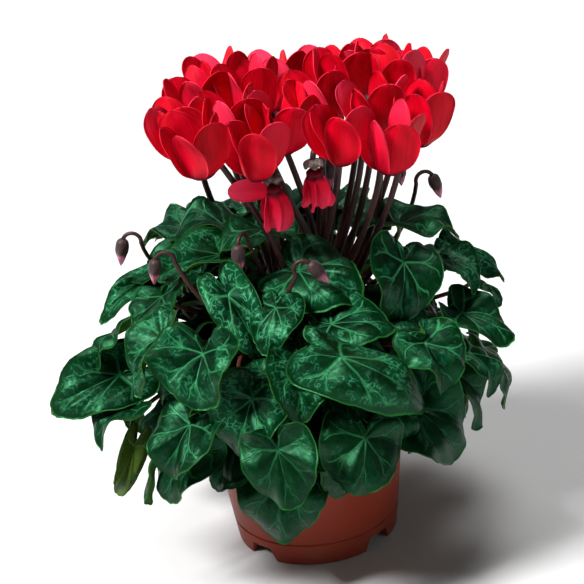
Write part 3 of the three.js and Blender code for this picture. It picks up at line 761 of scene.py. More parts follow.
def petiole_finish():
    f = Finish("leaf_stalk", Roughness=0.45, Specular_IOR_Level=0.3)
    stem = f.mark("stem")
    grain = f.noise(stem, (30.0, 1.5, 5.0))
    brown = f.blend(grain, (58, 28, 24), (96, 54, 40))
    f.colour(f.blend(f.parts(stem)[0].step(0.72, 1.0) * 0.8, brown, (128, 144, 86)))
    f.bump(grain, 0.0004, 0.5)
    return f.material


def calyx_finish():
    f = Finish("calyx", Roughness=0.7, Specular_IOR_Level=0.25, Sheen_Weight=0.15, Sheen_Roughness=0.5)
    tone = f.noise(f.place(), 600.0, 2.0)
    grey = f.blend(tone.step(0.3, 0.75), (74, 62, 58), (150, 140, 132))
    f.colour(f.blend(f.parts(f.mark("stem"))[0].fall(0.0, 0.5) * 0.6, grey, (52, 38, 38)))
    f.bump(tone, 0.0003, 0.6)
    return f.material


def bud_finish():
    f = Finish("bud", Roughness=0.5, Specular_IOR_Level=0.25, Sheen_Weight=0.1, Sheen_Roughness=0.4)
    stem = f.mark("stem")
    twist = f.noise(stem, (2.8, 4.2, 9.8), 2.0)
    pink = f.blend(twist.step(0.35, 0.65), (150, 30, 84), (222, 150, 168))
    dark = f.blend(twist, (30, 20, 22), (74, 54, 54))
    f.colour(f.blend(f.parts(stem)[0].step(0.52, 0.72), dark, pink))
    f.bump(twist, 0.0005, 0.5)
    return f.material


def pot_finish():
    f = Finish("terracotta_plastic", Specular_IOR_Level=0.2)
    spot = f.place()
    cloud = f.noise(spot, 22.0)
    speck = f.noise(spot, 900.0, 2.0)
    rubs = f.noise(spot, (60.0, 60.0, 900.0), 3.0, 0.6)
    dust = f.parts(spot)[2].fall(0.0, 0.022) * cloud.step(0.35, 0.65)
    f.colour(f.coats(
        f.blend(cloud, (118, 38, 22), (138, 50, 30)),
        (rubs.step(0.62, 0.8) * 0.22, (160, 84, 58)),
        (dust * 0.30, (112, 76, 58)),
    ))
    f.roughness(0.36 + cloud * 0.16 + rubs * 0.08)
    f.bump(speck * 0.5 + rubs * 0.4, 0.00015, 0.6)
    return f.material


def soil_finish():
    f = Finish("peat", Roughness=0.95)
    grain = f.noise(f.place(), 420.0, 5.0, 0.7)
    fibre = f.noise(f.place(), (300.0, 900.0, 300.0), 3.0, 0.6)
    earth = f.blend(grain.step(0.35, 0.7), (26, 16, 11), (66, 44, 30))
    f.colour(f.blend(fibre.step(0.62, 0.75), earth, (112, 82, 56)))
    f.bump(grain, 0.0012, 0.9)
    return f.material


def tuber_finish():
    f = Finish("tuber", Roughness=0.9)
    cork = f.noise(f.place(), 180.0, 4.0, 0.65)
    f.colour(f.blend(cork.step(0.3, 0.7), (60, 40, 30), (112, 84, 62)))
    f.bump(cork, 0.0012, 0.9)
    return f.material


# ---- the plant's own frames ----
class LeafFrame:
    """A blade's junction with its stalk, its three directions and its shape."""

    def __init__(self, row, index):
        self.half, roll, fold, self.arch, self.wave = row[6:]
        self.index = index
        self.j = V(*row[:3])
        span = V(*row[3:6]) - self.j
        self.length = np.linalg.norm(span)
        self.e1 = span / self.length
        face = unit(self.j - HUB)
        self.n = turned(unit(without_part_along(face, self.e1)), self.e1, math.radians(roll))
        self.e2 = np.cross(self.n, self.e1)
        self.seat = unit(self.n - self.e1 * (4 * self.arch / self.length))
        self.fold = math.radians(fold)
        self.phase = chance(index, 7, *PHASES)

    def surface(self, a, b, ring):
        """The blade at shares a of its length and b of its half width."""
        lift = (4 * self.arch * a * (1 - a)) / (1 + 3 * np.maximum(0, -a))
        lift = lift + self.wave * ring**2 * np.sin(WAVES * np.arctan2(b, a) + self.phase)
        lift = lift + np.abs(b) * self.half * math.sin(self.fold)
        return (self.j + self.e1 * (a * self.length)[..., None]
                + self.e2 * (b * self.half * math.cos(self.fold))[..., None]
                + self.n * lift[..., None])


def ring_leaves(rings, first_seed):
    """Leaves set round the pot in rings, each turned and tipped a little its own way."""
    rows = []
    for ring, (count, start, end, radius, height, length, half, dip) in enumerate(rings):
        for k in range(count):
            seed = first_seed + 100 * ring + k
            azimuth = math.radians(start + (end - start) * (k + 0.5) / count + chance(seed, 1, -5, 5))
            way = level(azimuth + math.radians(chance(seed, 2, -20, 20)))
            slope = math.radians(dip + chance(seed, 3, -8, 8))
            j = level(azimuth) * (radius + chance(seed, 4, -4, 4)) + UP * (height + chance(seed, 5, -5, 5))
            t = j + way * length * math.cos(slope) - UP * length * math.sin(slope)
            rows.append((*j, *t, half, chance(seed, 6, -10, 10), 12, 3, 2.5))
    return rows


class FlowerFrame:
    """The mouth of a flower, its axis, and the ways to its back and its side."""

    def __init__(self, index, mouth, axis, back, opening=1.0):
        self.index = index
        self.mouth = mouth
        self.axis = axis
        self.back = unit(without_part_along(back, axis))
        self.side = np.cross(axis, self.back)
        self.opening = opening

    def out(self, angles):
        """The way out from the axis at an angle from the back."""
        angles = np.asarray(angles)[..., None]
        return self.back * np.cos(angles) + self.side * np.sin(angles)

    def rings(self, at, heights, radii):
        """Rings round the axis, a row of radii each."""
        return at + self.axis * heights[..., None] + self.out(around(radii.shape[1])) * radii[..., None]


def bloom_frame(row, index):
    x, y, z, lean, bearing, opening = row
    clump = CLUMPS[0 if x < CLUMP_SPLIT_X else 1]
    back = V(clump[0] - x, clump[1] - y, 0)
    if np.linalg.norm(back) < CLUMP_MIDDLE_R:
        back = V(0.2, 1, 0)
    return FlowerFrame(index, V(x, y, z), leaning(lean, bearing), back, opening)


def turn_from_back(p):
    return (math.atan2(p[1], p[0]) + 1.5 * math.pi) % TURN


def root_at(azimuth, radius):
    return level(azimuth) * radius + UP * (CROWN_Z - CROWN_FALL * radius)


def even_turn(k, count):
    return math.pi / 2 + TURN * (k + 0.5) / count


def petiole_roots(leaf_frames):
    """Three rings of roots: of each three neighbours the highest leaf roots nearest the middle."""
    order = sorted(leaf_frames, key=lambda f: turn_from_back(f.j))
    roots = {}
    for i in range(0, len(order), 3):
        three = order[i:i + 3]
        by_height = sorted(three, key=lambda f: -f.j[2])
        for k, f in enumerate(three):
            roots[f.index] = root_at(even_turn(i + k, len(order)), PETIOLE_RINGS[by_height.index(f)])
    return roots


def stalk_roots(tops):
    left = sorted(tops, key=lambda top: math.hypot(top[1][0], top[1][1]))
    roots = {}
    for count, radius in STALK_RINGS:
        ring = sorted(left[:count], key=lambda top: turn_from_back(top[1]))
        left = left[count:]
        for k, (index, _) in enumerate(ring):
            roots[index] = root_at(even_turn(k, len(ring)), radius)
    return roots


def petiole_route(f, root, lift, bow, steps):
    """Up and out from the root, and into the blade's underside. Low leaves arch over more."""
    end = f.j - f.seat * SEAT_DROP
    reach = math.hypot(f.j[0], f.j[1])
    out = V(f.j[0] / reach, f.j[1] / reach, 0)
    cross = V(-out[1], out[0], 0)
    high = min(max((f.j[2] - 60) / 100, 0), 1)
    first = root + UP * (24 + 22 * high + lift) + out * ((0.42 - 0.28 * high) * reach - 6) + cross * bow
    over = 28 * (1 - high) * (1 - max(0, f.n[2]))
    second = end - f.seat * 14 - f.e1 * 3 + UP * over + cross * 0.6 * bow
    return bezier(root, first, second, end, steps)


def stalk_route(f, top, root, bow, pull, tuck, steps, hook_steps):
    """Nearly straight up from the root, then over in a hook that comes down on the flower."""
    centre = top + f.axis * 0.5 + f.back * HOOK_R
    angles = np.linspace(0, math.pi, hook_steps + 1)[:, None]
    bend = centre - f.back * HOOK_R * np.cos(angles) + f.axis * HOOK_R * np.sin(angles)
    foot = bend[-1]
    high = foot[2] - root[2]
    flat = math.hypot(foot[0], foot[1])
    cross = V(-foot[1] / flat, foot[0] / flat, 0)
    first = root + UP * 0.42 * high + cross * bow + V(0.3 * foot[0], 0.25 * foot[1] + 4 + pull, 0)
    second = foot - f.axis * 0.42 * high
    second[0] = foot[0] * 0.96 * tuck + 0.6 * bow * cross[0]
    second[1] = foot[1] * 0.7 * tuck + 4 + pull + 0.6 * bow * cross[1]
    rise = bezier(root, first, second, foot, steps)
    return np.vstack([rise[:-1], bend[::-1]])


# ---- which way each stalk takes, and which node each leaf and bloom is in ----
def kd_tree(points):
    tree = KDTree(len(points))
    for i, point in enumerate(points):
        tree.insert(Vector(point), i)
    tree.balance()
    return tree


def trees_of(prefix):
    """The vertices of each node whose name starts so."""
    return {name: kd_tree([v.co for v in piece.data.vertices])
            for name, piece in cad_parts.items() if name.startswith(prefix)}


crown_tree = trees_of("crown")["crown"]
# the ways that a leaf stalk may take, its lift and bow, and a flower stalk, its bow, pull and tuck
PETIOLE_WAYS = [(lift, bow) for lift in (0, 8, -8, 16, 26, -14)
                for bow in (0, 7, -7, 14, -14, 22, -22, 32, -32)]
STALK_WAYS = [(bow, pull, tuck) for tuck in (1, 0.75, 0.5) for pull in (0, 6, -6, 12, -12, 20, -20, 30)
              for bow in (0, 5, -5, 10, -10, 16, -16, 24, -24, 34, -34)]
# the inner points of a stalk's middle line that are looked up, how far a corner of the crown may
# lie from the stalk's own radius there, and how many such corners stand for the stalk
CHECKED = slice(1, 4)
NEAR = 0.08
CORNERS = 3


def fits_crown(points, radii):
    """How many of these points of a stalk's middle line have the crown's own stalk round them."""
    score = 0
    for p, r in zip(points, radii):
        near = crown_tree.find_range(in_frame(p), (r + NEAR) * MM)
        score += sum(distance > (r - NEAR) * MM for _, _, distance in near) >= CORNERS
    return score


def chosen(choices, route, ends):
    """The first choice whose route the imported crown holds, or else the one that it holds best."""
    best, best_score = choices[0], -1
    for choice in choices:
        points = route(*choice)
        radii = np.linspace(*ends, len(points))[CHECKED]
        score = fits_crown(points[CHECKED], radii)
        if score > best_score:
            best, best_score = choice, score
        if score == len(radii):
            break
    return best


def node_of(points, trees):
    """The node whose mesh comes nearest to these points."""
    return min(trees, key=lambda name: sum(trees[name].find(in_frame(p))[2] > MM for p in points))


# ---- leaves ----
def half_outline(steps):
    """The heart's edge from its tip round one lobe to the notch, in even steps. It swells a little
    between its corners."""
    tip, second = OUTLINE[0], OUTLINE[1]
    shape = np.array([(tip[0] + 0.1, -second[1] * 0.3), *OUTLINE, (0.2, -0.1)], float)
    dense = []
    for i in range(1, len(shape) - 2):
        swell = EDGE_SWELL if i < 5 else 0
        for t in np.linspace(0, 1, 12, endpoint=False):
            dense.append(curve_between(*shape[i - 1:i + 3], t) * (1 + swell * math.sin(math.pi * t)))
    dense = np.array([*dense, OUTLINE[-1]])
    run = np.concatenate([[0], np.cumsum(np.linalg.norm(np.diff(dense, axis=0), axis=1))])
    at = np.linspace(0, run[-1], steps + 1)
    return np.stack([np.interp(at, run, dense[:, 0]), np.interp(at, run, dense[:, 1])], axis=1)


def leaf_points(f, half_steps, ring_shares):
    """The blade's middle surface as rings from the leaf stalk out, with the marks for its colour."""
    outline = half_outline(half_steps)
    count = 2 * half_steps
    k = np.arange(count)
    step = np.where(k <= half_steps, k, count - k)
    t = step / half_steps
    angles = around(count)
    rim_a = outline[step, 0]
    rim_b = outline[step, 1] * np.where(k <= half_steps, -1.0, 1.0)
    teeth = 1 + TOOTH * np.abs(np.sin(11 * angles + f.phase)) * smooth(np.abs(rim_a + 0.12), 0.05, 0.3)
    rings = np.array(ring_shares)[:, None]
    a = rings * rim_a * teeth
    b = rings * rim_b * teeth
    ring = np.broadcast_to(rings, a.shape)
    pucker = PUCKER * np.sin(VEINS * math.pi * t) ** 2 * ring**1.2 * (1.15 - ring**3)
    broad = chance(f.index, 31, *BROAD_FOLDS) * np.sin(5 * angles + chance(f.index, 32, *PHASES))
    fine = chance(f.index, 33, *FINE_FOLDS) * np.sin(9 * angles + chance(f.index, 34, *PHASES))
    wings = np.where(b < 0, chance(f.index, 35, *WINGS), chance(f.index, 36, *WINGS))
    form = pucker + ring**2.2 * (broad + fine) + wings * smooth(np.abs(b), 0.3, 1.05) ** 2
    form = form + chance(f.index, 37, *TIP_CURL) * smooth(a, 0.4, 1.0) ** 2
    form = form + chance(f.index, 38, *EARS) * smooth(-a, 0.0, 0.5)
    form = form + chance(f.index, 39, *HEM) * smooth(ring, 0.72, 1.0) ** 2
    points = f.surface(a, b, ring) + f.n * (f.half / FORM_HALF * form)[..., None]
    blade = np.stack([a * f.length, b * f.half, np.full(a.shape, LEAF_MARK * f.index)], axis=2)
    polar = np.stack([np.broadcast_to(t, a.shape), ring], axis=2)
    return points, blade, polar


def add_leaf(shell, f, half_steps, ring_shares):
    points, blade, polar = leaf_points(f, half_steps, ring_shares)
    vertices, faces = sheet(points, LEAF_T, True, f.n)
    under = np.repeat([0.0, 1.0], len(vertices) // 2)
    polar = np.column_stack([np.vstack([polar.reshape(-1, 2)] * 2), under])
    shell.add(vertices, faces, blade=np.vstack([blade.reshape(-1, 3)] * 2), polar=polar)


def build_leaves(leaf_frames, material):
    trees = trees_of("leaf_")
    a, b = np.array([*OUTLINE, *[(a, -b) for a, b in OUTLINE[1:-1]]], float).T
    shells = {}
    for f in leaf_frames:
        name = node_of(f.surface(a, b, np.ones(len(a))), trees)
        add_leaf(shells.setdefault(name, Shell()), f, HALF_STEPS, RINGS)
    for name, shell in shells.items():
        shell.build("blades_" + name[-2:], material, "leaf", [name])


def build_young_leaves(material, stalk_material, stalk_points):
    """Small leaves that stand between the large ones, clear of the flower stalks, each on its
    own stalk."""
    tree = kd_tree(stalk_points)
    blades, stalks = Shell(), Shell()
    for i, row in enumerate(ring_leaves(YOUNG_RINGS, YOUNG_SEED)):
        for degrees in YOUNG_TURNS:
            ends = [turned(row[k:k + 3], UP, math.radians(degrees)) for k in (0, 3)]
            f = LeafFrame((*ends[0], *ends[1], *row[6:]), FIRST_YOUNG_INDEX + i)
            points = leaf_points(f, CLEAR_HALF_STEPS, CLEAR_RINGS)[0].reshape(-1, 3)
            if min(tree.find(Vector(p))[2] for p in points) > STALK_CLEAR:
                break
        else:
            continue
        add_leaf(blades, f, YOUNG_HALF_STEPS, YOUNG_RING_SHARES)
        azimuth = math.atan2(f.j[1], f.j[0]) + chance(i, 41, -0.25, 0.25)
        root = root_at(azimuth, chance(i, 42, *YOUNG_ROOT_R))
        route = petiole_route(f, root, 0, chance(i, 43, -4, 4), YOUNG_STALK_STEPS)
        points = np.vstack([route, f.j - f.seat * SEAT_REACH])
        add_bar(stalks, points, YOUNG_STALK_R, YOUNG_STALK_SIDES, f.index)
    blades.build("young_blades", material, "leaf")
    stalks.build("young_leaf_stalks", stalk_material, "stalk")


# ---- flowers ----
def petal_frame(f, k):
    """The way out to petal k and the way across it, its seed, its size and how far it splays."""
    q = math.radians(PETAL_GAP_DEG[k])
    seed = 40 * f.index + k
    size, splay = chance(seed, 9, *PETAL_SIZE), f.opening * chance(seed, 10, *PETAL_SPLAY)
    return f.out(q), f.out(q + math.pi / 2), seed, size, splay


def petal_grid(f, stations, k):
    outward, across, seed, size, splay = petal_frame(f, k)
    u = 1 - (1 - np.linspace(0, 1, PETAL_ROWS)) ** 1.5
    v = np.linspace(-1, 1, PETAL_COLUMNS)
    r, h, _, twist = spline(stations, u)
    if stations is HANGING:
        h = h * HANG_SHARES[f.index - FIRST_OPENING_INDEX]
    h = h * size * (1 + 0.06 * smooth(u, 0.5, 1.0))
    r = r * (1 + (splay - 1) * u)
    # narrow where it leaves the tube, broad above its middle, round at its end
    narrow = stations[0][2]
    broad = max(station[2] for station in stations) * chance(seed, 14, *PETAL_SPREAD)
    rounding = np.sqrt(1 - np.clip((u - ROUND_FROM) / (1 - ROUND_FROM), 0, ROUND_TO) ** 2)
    w = (narrow + (broad - narrow) * smooth(u, -0.05, 0.62) ** 0.85) * rounding
    turn = np.radians(twist + chance(seed, 15, *PETAL_TURN_DEG) * u)[:, None]
    way = across * np.cos(turn) + outward * np.sin(turn)
    face = outward * np.cos(turn) - across * np.sin(turn)
    # its middle is hollow, its inner edge tucks under its neighbour, and its upper part is wavy
    hollow = -PETAL_HOLLOW * (1 - v**2) * (w * smooth(u, 0.1, 0.6))[:, None]
    tuck = -PETAL_TUCK * smooth(-v, -0.1, 1.0) * (smooth(u, 0.05, 0.4) * rounding)[:, None]
    frill = np.sin(4.2 * v + chance(seed, 12, *PHASES)) * np.abs(v)
    frill = frill + 0.4 * np.sin(14 * u[:, None] + 3 * v)
    curl = chance(seed, 16, *PETAL_CURL) * v**2 * np.sign(v + 0.2)
    wave = (PETAL_FRILL * frill + curl) * (smooth(u, 0.35, 1.0) * rounding)[:, None]
    r = r + chance(seed, 13, *PETAL_LEAN) * smooth(u, 0.45, 1.0) ** 2
    middle = f.mouth + outward * r[:, None] + f.axis * h[:, None]
    grid = (middle[:, None] + way[:, None] * (w[:, None] * v)[..., None]
            + face[:, None] * (hollow + tuck + wave)[..., None])
    mark = PETAL_MARK * seed if stations is PETAL else PINK_MARK
    marks = np.stack([*np.meshgrid(u, v, indexing="ij"), np.full(grid.shape[:2], mark)], axis=2)
    return grid, marks, -outward if stations is HANGING else outward


def add_petal(shell, f, stations, k):
    grid, marks, facing = petal_grid(f, stations, k)
    vertices, faces = sheet(grid, PETAL_SHEET, False, facing)
    shell.add(vertices, faces, petal=np.vstack([marks.reshape(-1, 3)] * 2))


def add_tube(shell, f, height, radius):
    """The short corolla tube between the mouth and the calyx."""
    stations = ((radius * 0.55, height), (radius, 0.6 * height),
                (radius * 1.05, 0.2 * height), (radius * 1.02, -0.2))
    r, h = spline(stations, np.linspace(0, 1, TUBE_ROWS))
    grid = f.rings(f.mouth, h[:, None], np.repeat(r[:, None], TUBE_SIDES, axis=1))
    vertices, faces = sheet(grid, PETAL_SHEET, True, f.mouth - grid.mean(axis=(0, 1)))
    shell.add(vertices, faces, petal=np.tile(TUBE_MARK, (len(vertices), 1)))


def coarse_petal(f, stations, k):
    """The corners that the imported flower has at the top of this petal."""
    outward, across, _, size, splay = petal_frame(f, k)
    r, h, w, twist = stations[-1]
    centre = f.mouth + outward * r * splay + f.axis * h * size
    turn = math.radians(twist)
    way = across * math.cos(turn) + outward * math.sin(turn)
    return [centre - way * w, centre + way * w]


def build_flowers(flowers, material):
    trees = trees_of("bloom_")
    shells = {}
    for f, stations, height in flowers:
        tips = [corner for k in range(PETALS) for corner in coarse_petal(f, stations, k)]
        shell = shells.setdefault(node_of(tips, trees), Shell())
        for k in range(PETALS):
            add_petal(shell, f, stations, k)
        if f.index == FIRST_OPENING_INDEX:
            aside = FlowerFrame(f.index, f.mouth, unit(V(*SWUNG_WAY)), V(*SWUNG_BACK))
            add_petal(shell, aside, SWUNG, SWUNG_GAP)
        add_tube(shell, f, height, stations[0][0])
    for name, shell in shells.items():
        shell.build("petals_" + name[-2:], material, "petal", [name])


# ---- stalks, calyxes and buds ----
def stem_marks(rings, sides, seed):
    """For each point of a stem its share of the length, its angle round it, and its seed."""
    share = np.repeat(np.linspace(0, 1, rings), sides)
    return np.column_stack([share, np.tile(around(sides), rings), np.full(len(share), float(seed))])


def add_bar(shell, points, ends, sides, seed):
    """A round stalk through a list of points, with the radii of its two ends."""
    vertices = sweep(points, np.linspace(*ends, len(points)), sides)
    shell.add(vertices, tube_faces(len(points), sides), stem=stem_marks(len(points), sides, seed))


def add_calyx(shell, f, top):
    """Five short sepals that hold the top of the flower."""
    share, radius = np.array(CALYX).T[..., None]
    lobes = 0.5 + 0.5 * np.cos(PETALS * around(CALYX_SIDES))
    drop = 0.8 - share * (CALYX_H + 0.4) * (0.55 + 0.45 * lobes)
    vertices, faces = sheet(f.rings(top, drop, radius - 0.35 * share * lobes), CALYX_SHEET, True, f.axis)
    shell.add(vertices, faces, stem=np.vstack([stem_marks(len(CALYX), CALYX_SIDES, f.index)] * 2))


def add_bud(shell, f, top, size):
    """A closed bud: sepals at its top, and petals twisted to a point below."""
    r, h = spline(BUD, np.linspace(0, 1, BUD_ROWS))[..., None]
    spiral = 1 + 0.09 * np.cos(PETALS * around(BUD_SIDES) - 6.0 * h) * smooth(-h, 0.1, 0.4)
    grid = f.rings(top, h * BUD_L * size, r * spiral * size * BUD_GIRTH)
    faces = [face[::-1] for face in tube_faces(BUD_ROWS, BUD_SIDES)]
    shell.add(grid, faces, stem=stem_marks(BUD_ROWS, BUD_SIDES, f.index))


def build_crown(leaf_frames, stems, leaf_stalk_finish):
    """All stalks, calyxes and buds. Gives the middle lines of the flower stalks."""
    leaf_roots = petiole_roots(leaf_frames)
    petioles = Shell()
    for f in leaf_frames:
        root = leaf_roots[f.index]
        found = chosen(PETIOLE_WAYS, lambda *way: petiole_route(f, root, *way, PACKED_STEPS[0]), PETIOLE_R)
        route = petiole_route(f, root, *found, LEAF_STALK_STEPS)
        points = np.vstack([route, f.j - f.seat * SEAT_REACH])
        add_bar(petioles, points, LEAF_STALK_R, LEAF_STALK_SIDES, f.index)
    petioles.build("leaf_stalks", leaf_stalk_finish, "stalk", ["crown"])

    roots = stalk_roots([(f.index, top) for f, top, _ in stems])
    stalks, calyxes, buds = Shell(), Shell(), Shell()
    stalk_points = []
    for f, top, bud_size in stems:
        root = roots[f.index]
        found = chosen(STALK_WAYS, lambda *way: stalk_route(f, top, root, *way, *PACKED_STEPS), STALK_R)
        stalk_points.extend(stalk_route(f, top, root, *found, *CLEAR_STEPS))
        ends = BUD_STALK_R if bud_size else FLOWER_STALK_R
        route = stalk_route(f, top, root, *found, *STALK_STEPS)
        add_bar(stalks, route, ends, FLOWER_STALK_SIDES, f.index)
        if bud_size:
            add_bud(buds, f, top, bud_size)
        else:
            add_calyx(calyxes, f, top)
    stalks.build("flower_stalks", stalk_finish(), "stalk", ["crown"])
    calyxes.build("calyxes", calyx_finish(), "stalk", ["crown"])
    buds.build("buds", bud_finish(), "stalk", ["crown"])
    return stalk_points


def build_tuber():
    body = lathe(TUBER, TUBER_SEGMENTS)
    bmesh.ops.subdivide_edges(body, edges=body.edges, cuts=1, use_grid_fill=True)
    for v in body.verts:
        bulge = 0.7 * math.sin(0.33 * v.co.x + 1.3) * math.sin(0.29 * v.co.y) + 0.4 * math.sin(0.9 * v.co.z)
        v.co += v.co.xy.to_3d().normalized() * bulge
    place("tuber", mesh_of(body, "tuber"), tuber_finish(), ["crown"])


# ---- pot and soil ----
def wall_at(z, out=0.0, up=0.0):
    """A point on the pot's plain outer wall, moved so far out and up: its radius and height."""
    return BASE_R + (RIM_R - RIM_BAND_T - BASE_R) * z / POT_H + out, z + up


def cut(piece, body):
    """Takes a body out of a piece."""
    cutter = linked("cutter", mesh_of(body, "cutter"))
    modifier = piece.modifiers.new("cut", "BOOLEAN")
    modifier.object = cutter
    modifier.solver = "EXACT"
    bpy.context.view_layer.update()
    made = bpy.data.meshes.new_from_object(piece.evaluated_get(bpy.context.evaluated_depsgraph_get()))
    piece.modifiers.clear()
    piece.data = made
    bpy.data.objects.remove(cutter)


def wedge(azimuth):
    """The block that a notch leaves open: it narrows from the ground up."""
    body = bmesh.new()
    corners = []
    for z, half in ((-1, NOTCH_HALF_DEG + 0.5), (NOTCH_H, NOTCH_HALF_DEG - NOTCH_SLOPE_DEG)):
        for r, sign in ((BASE_R - 5, -1), (BASE_R - 5, 1), (BASE_R + 3, 1), (BASE_R + 3, -1)):
            corners.append(body.verts.new(r * level(math.radians(azimuth + sign * half)) + UP * z))
    for face in ((0, 1, 2, 3), (4, 5, 6, 7), (0, 1, 5, 4), (1, 2, 6, 5), (2, 3, 7, 6), (3, 0, 4, 7)):
        body.faces.new([corners[i] for i in face])
    bmesh.ops.recalc_face_normals(body, faces=body.faces)
    return body


def build_pot():
    band_z = POT_H - RIM_BAND_H
    foot_r = BASE_R - FOOT_T
    inner_r = RIM_R - RIM_BAND_T - POT_WALL
    floor_top = FLOOR_Z + FLOOR_T
    profile = [
        (0, FLOOR_Z), (foot_r, FLOOR_Z), (foot_r, 0.3), (foot_r + 0.3, 0), (BASE_R - 0.4, 0),
        (BASE_R, 0.4), wall_at(6), wall_at(GROOVE_Z), wall_at(GROOVE_Z, -GROOVE_STEP, 0.5),
        wall_at(GROOVE_Z, -GROOVE_STEP, 1.0), wall_at(GROOVE_Z + 1.5), wall_at(30), wall_at(50),
        wall_at(70), wall_at(band_z, -0.1, -0.4), wall_at(band_z, RIM_BAND_T - 0.2, 0.3),
        wall_at(band_z, RIM_BAND_T, 0.9),
        (RIM_R, POT_H - 1.0), (RIM_R - 0.3, POT_H - 0.25), (RIM_R - 0.9, POT_H),
        (inner_r + 0.3, POT_H - 0.1), (inner_r, POT_H - 0.6), wall_at(floor_top, -POT_WALL), (0, floor_top),
    ]
    mesh = mesh_of(lathe(profile, POT_SEGMENTS), "nursery_pot")
    pot = place("nursery_pot", mesh, pot_finish(), ["pot"])
    for azimuth in NOTCH_AZ:
        cut(pot, wedge(azimuth))
    low, high = FLOOR_Z - 2, floor_top + 2
    for q in around(DRAIN_COUNT):
        hole = lathe([(0, low), (DRAIN_R, low), (DRAIN_R, high), (0, high)], DRAIN_SEGMENTS)
        bmesh.ops.translate(hole, verts=hole.verts, vec=level(q) * DRAIN_RING_R)
        cut(pot, hole)
    edges = pot.modifiers.new("soft_edges", "BEVEL")
    edges.width = EDGE_BEVEL * MM
    edges.segments = 2
    edges.limit_method = "ANGLE"
    edges.angle_limit = math.radians(BEVEL_FROM_DEG)
    normals = pot.modifiers.new("even_normals", "WEIGHTED_NORMAL")
    normals.keep_sharp = True


def build_soil():
    """Peat with a pit for the tuber, and loose crumbs on it."""
    low = FLOOR_Z + FLOOR_T + 0.3
    inside = -POT_WALL - SOIL_GAP
    wall = wall_at(SOIL_TOP, inside)[0]
    profile = [(0, low), wall_at(low, inside), (wall, SOIL_TOP - 2)]
    profile += [(r, SOIL_TOP + 1.0) for r in np.linspace(wall - 0.4, PIT_R, SOIL_RINGS)]
    profile += [(PIT_R - 1, SOIL_TOP - 4), (0, SOIL_TOP - 6)]
    body = lathe(profile, SOIL_SEGMENTS)
    for v in body.verts:
        if v.co.z > SOIL_TOP - 1 and v.co.xy.length < wall - 0.2:
            x, y = v.co.xy
            grain = draw(round(x, 2), round(y, 2)) - 0.6
            v.co.z += 0.8 * math.sin(0.31 * x + 0.8) * math.cos(0.27 * y) + grain
    peat = soil_finish()
    place("peat_soil", mesh_of(body, "peat_soil"), peat, ["soil"])
    crumbs = bmesh.new()
    for k in range(CRUMBS):
        r = math.sqrt(PIT_R**2 + (wall**2 - PIT_R**2) * draw(k, 22)) - 1.5
        size = 0.6 + 1.9 * draw(k, 23) ** 3
        spot = Matrix.Translation(level(TURN * draw(k, 21)) * r + UP * (SOIL_TOP + 1.1 + 0.3 * size))
        about = Vector((draw(k, 25), draw(k, 26), 0.5)).normalized()
        tilt = Matrix.Rotation(chance(k, 24, *PHASES), 4, about)
        shape = Matrix.Diagonal((size, size * (0.6 + 0.4 * draw(k, 27)), size * 0.55, 1))
        bmesh.ops.create_icosphere(crumbs, subdivisions=1, radius=1.0, matrix=spot @ tilt @ shape)
    place("soil_crumbs", mesh_of(crumbs, "soil_crumbs"), peat, ["soil"])


# ---- studio ----
def build_floor():
    mesh = bpy.data.meshes.new("floor")
    disc = bmesh.new()
    bmesh.ops.create_circle(disc, cap_ends=True, segments=96, radius=FLOOR_R)
    disc.to_mesh(mesh)
    disc.free()
    floor = linked("floor", mesh)
    pale = Finish("pale_floor", Roughness=0.9)
    pale.colour((FLOOR_GREY, FLOOR_GREY, FLOOR_GREY, 1))
    x, y, _ = pale.parts(pale.place())
    away = (x * x + y * y) ** 0.5
    pale.feed(pale.shader.inputs["Alpha"], away.fall(*FLOOR_FADE))
    mesh.materials.append(pale.material)


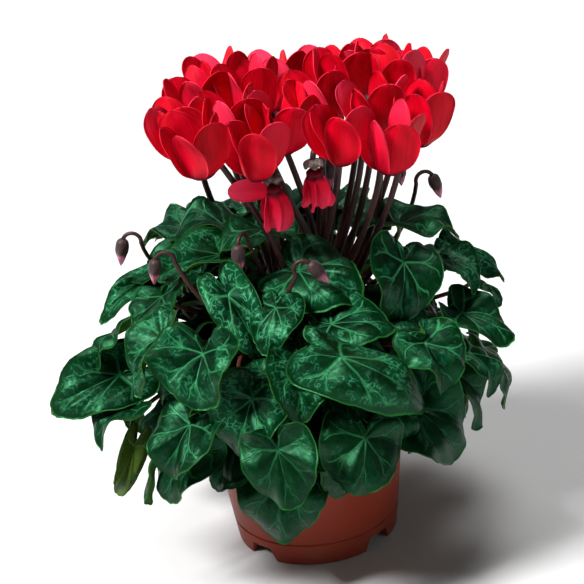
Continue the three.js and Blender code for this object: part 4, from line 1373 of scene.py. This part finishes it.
def build_studio():
    scene = bpy.context.scene
    scene.world = bpy.data.worlds.new("studio")
    scene.view_settings.view_transform = "Standard"
    sky = Nodes(scene.world)
    height = sky.parts(sky.place("Generated"))[2]
    light = {"Value": height, "From Max": CEILING_FROM, "To Min": WALL_LIGHT, "To Max": CEILING_LIGHT}
    background = sky.tree.nodes["Background"].inputs
    sky.feed(background["Color"], (1, 1, 1, 1))
    sky.feed(background["Strength"], sky.node("ShaderNodeMapRange", None, light))
    for name, at, size, power in LAMPS:
        light = bpy.data.lights.new(name, "AREA")
        light.size = size
        light.energy = power
        lamp = linked(name, light)
        lamp.location = at
        lamp.rotation_euler = (Vector(LAMPS_AIM) - Vector(at)).to_track_quat("-Z", "Y").to_euler()


def build_camera():
    at = np.array(CAMERA_AT)
    forward = unit(V(0, 0, CAMERA_TARGET_Z) - at)
    right = V(1, 0, 0)
    roll = math.radians(CAMERA_ROLL_DEG)
    x_axis = turned(right, forward, roll)
    y_axis = turned(np.cross(right, forward), forward, roll)
    data = bpy.data.cameras.new("camera")
    data.lens = CAMERA_LENS
    data.clip_end = 20
    camera = linked("camera", data)
    axes = Matrix((x_axis, y_axis, -forward)).transposed().to_4x4()
    camera.matrix_world = Matrix.Translation(in_frame(at)) @ axes
    bpy.context.scene.camera = camera


def main():
    build_camera()
    build_floor()
    build_studio()
    rows = [*LEAVES, *ring_leaves(TIERS, TIER_SEED)]
    leaf_frames = [LeafFrame(row, i) for i, row in enumerate(rows)]
    flowers = [(bloom_frame(row, i), PETAL, TUBE_H) for i, row in enumerate(BLOOMS)]
    for i, (x, y, z, bearing, opening) in enumerate(OPENING):
        f = FlowerFrame(FIRST_OPENING_INDEX + i, V(x, y, z), UP, level(math.radians(bearing)), opening)
        flowers.append((f, HANGING, OPENING_TUBE_H))
    # each stem: its frame, the point where its stalk ends, and the size of its bud if it is one
    stems = [(f, f.mouth + f.axis * (height + CALYX_GAP + CALYX_H), None) for f, _, height in flowers]
    for i, (x, y, z, bearing, lean, size) in enumerate(BUDS):
        back = level(math.radians(bearing))
        f = FlowerFrame(FIRST_BUD_INDEX + i, V(x, y, z), leaning(lean, bearing), back)
        stems.append((f, f.mouth, size))
    blade_finish = leaf_finish()
    leaf_stalk_finish = petiole_finish()
    build_leaves(leaf_frames, blade_finish)
    build_flowers(flowers, petal_finish())
    stalk_points = build_crown(leaf_frames, stems, leaf_stalk_finish)
    build_young_leaves(blade_finish, leaf_stalk_finish, stalk_points)
    build_tuber()
    build_pot()
    build_soil()


main()
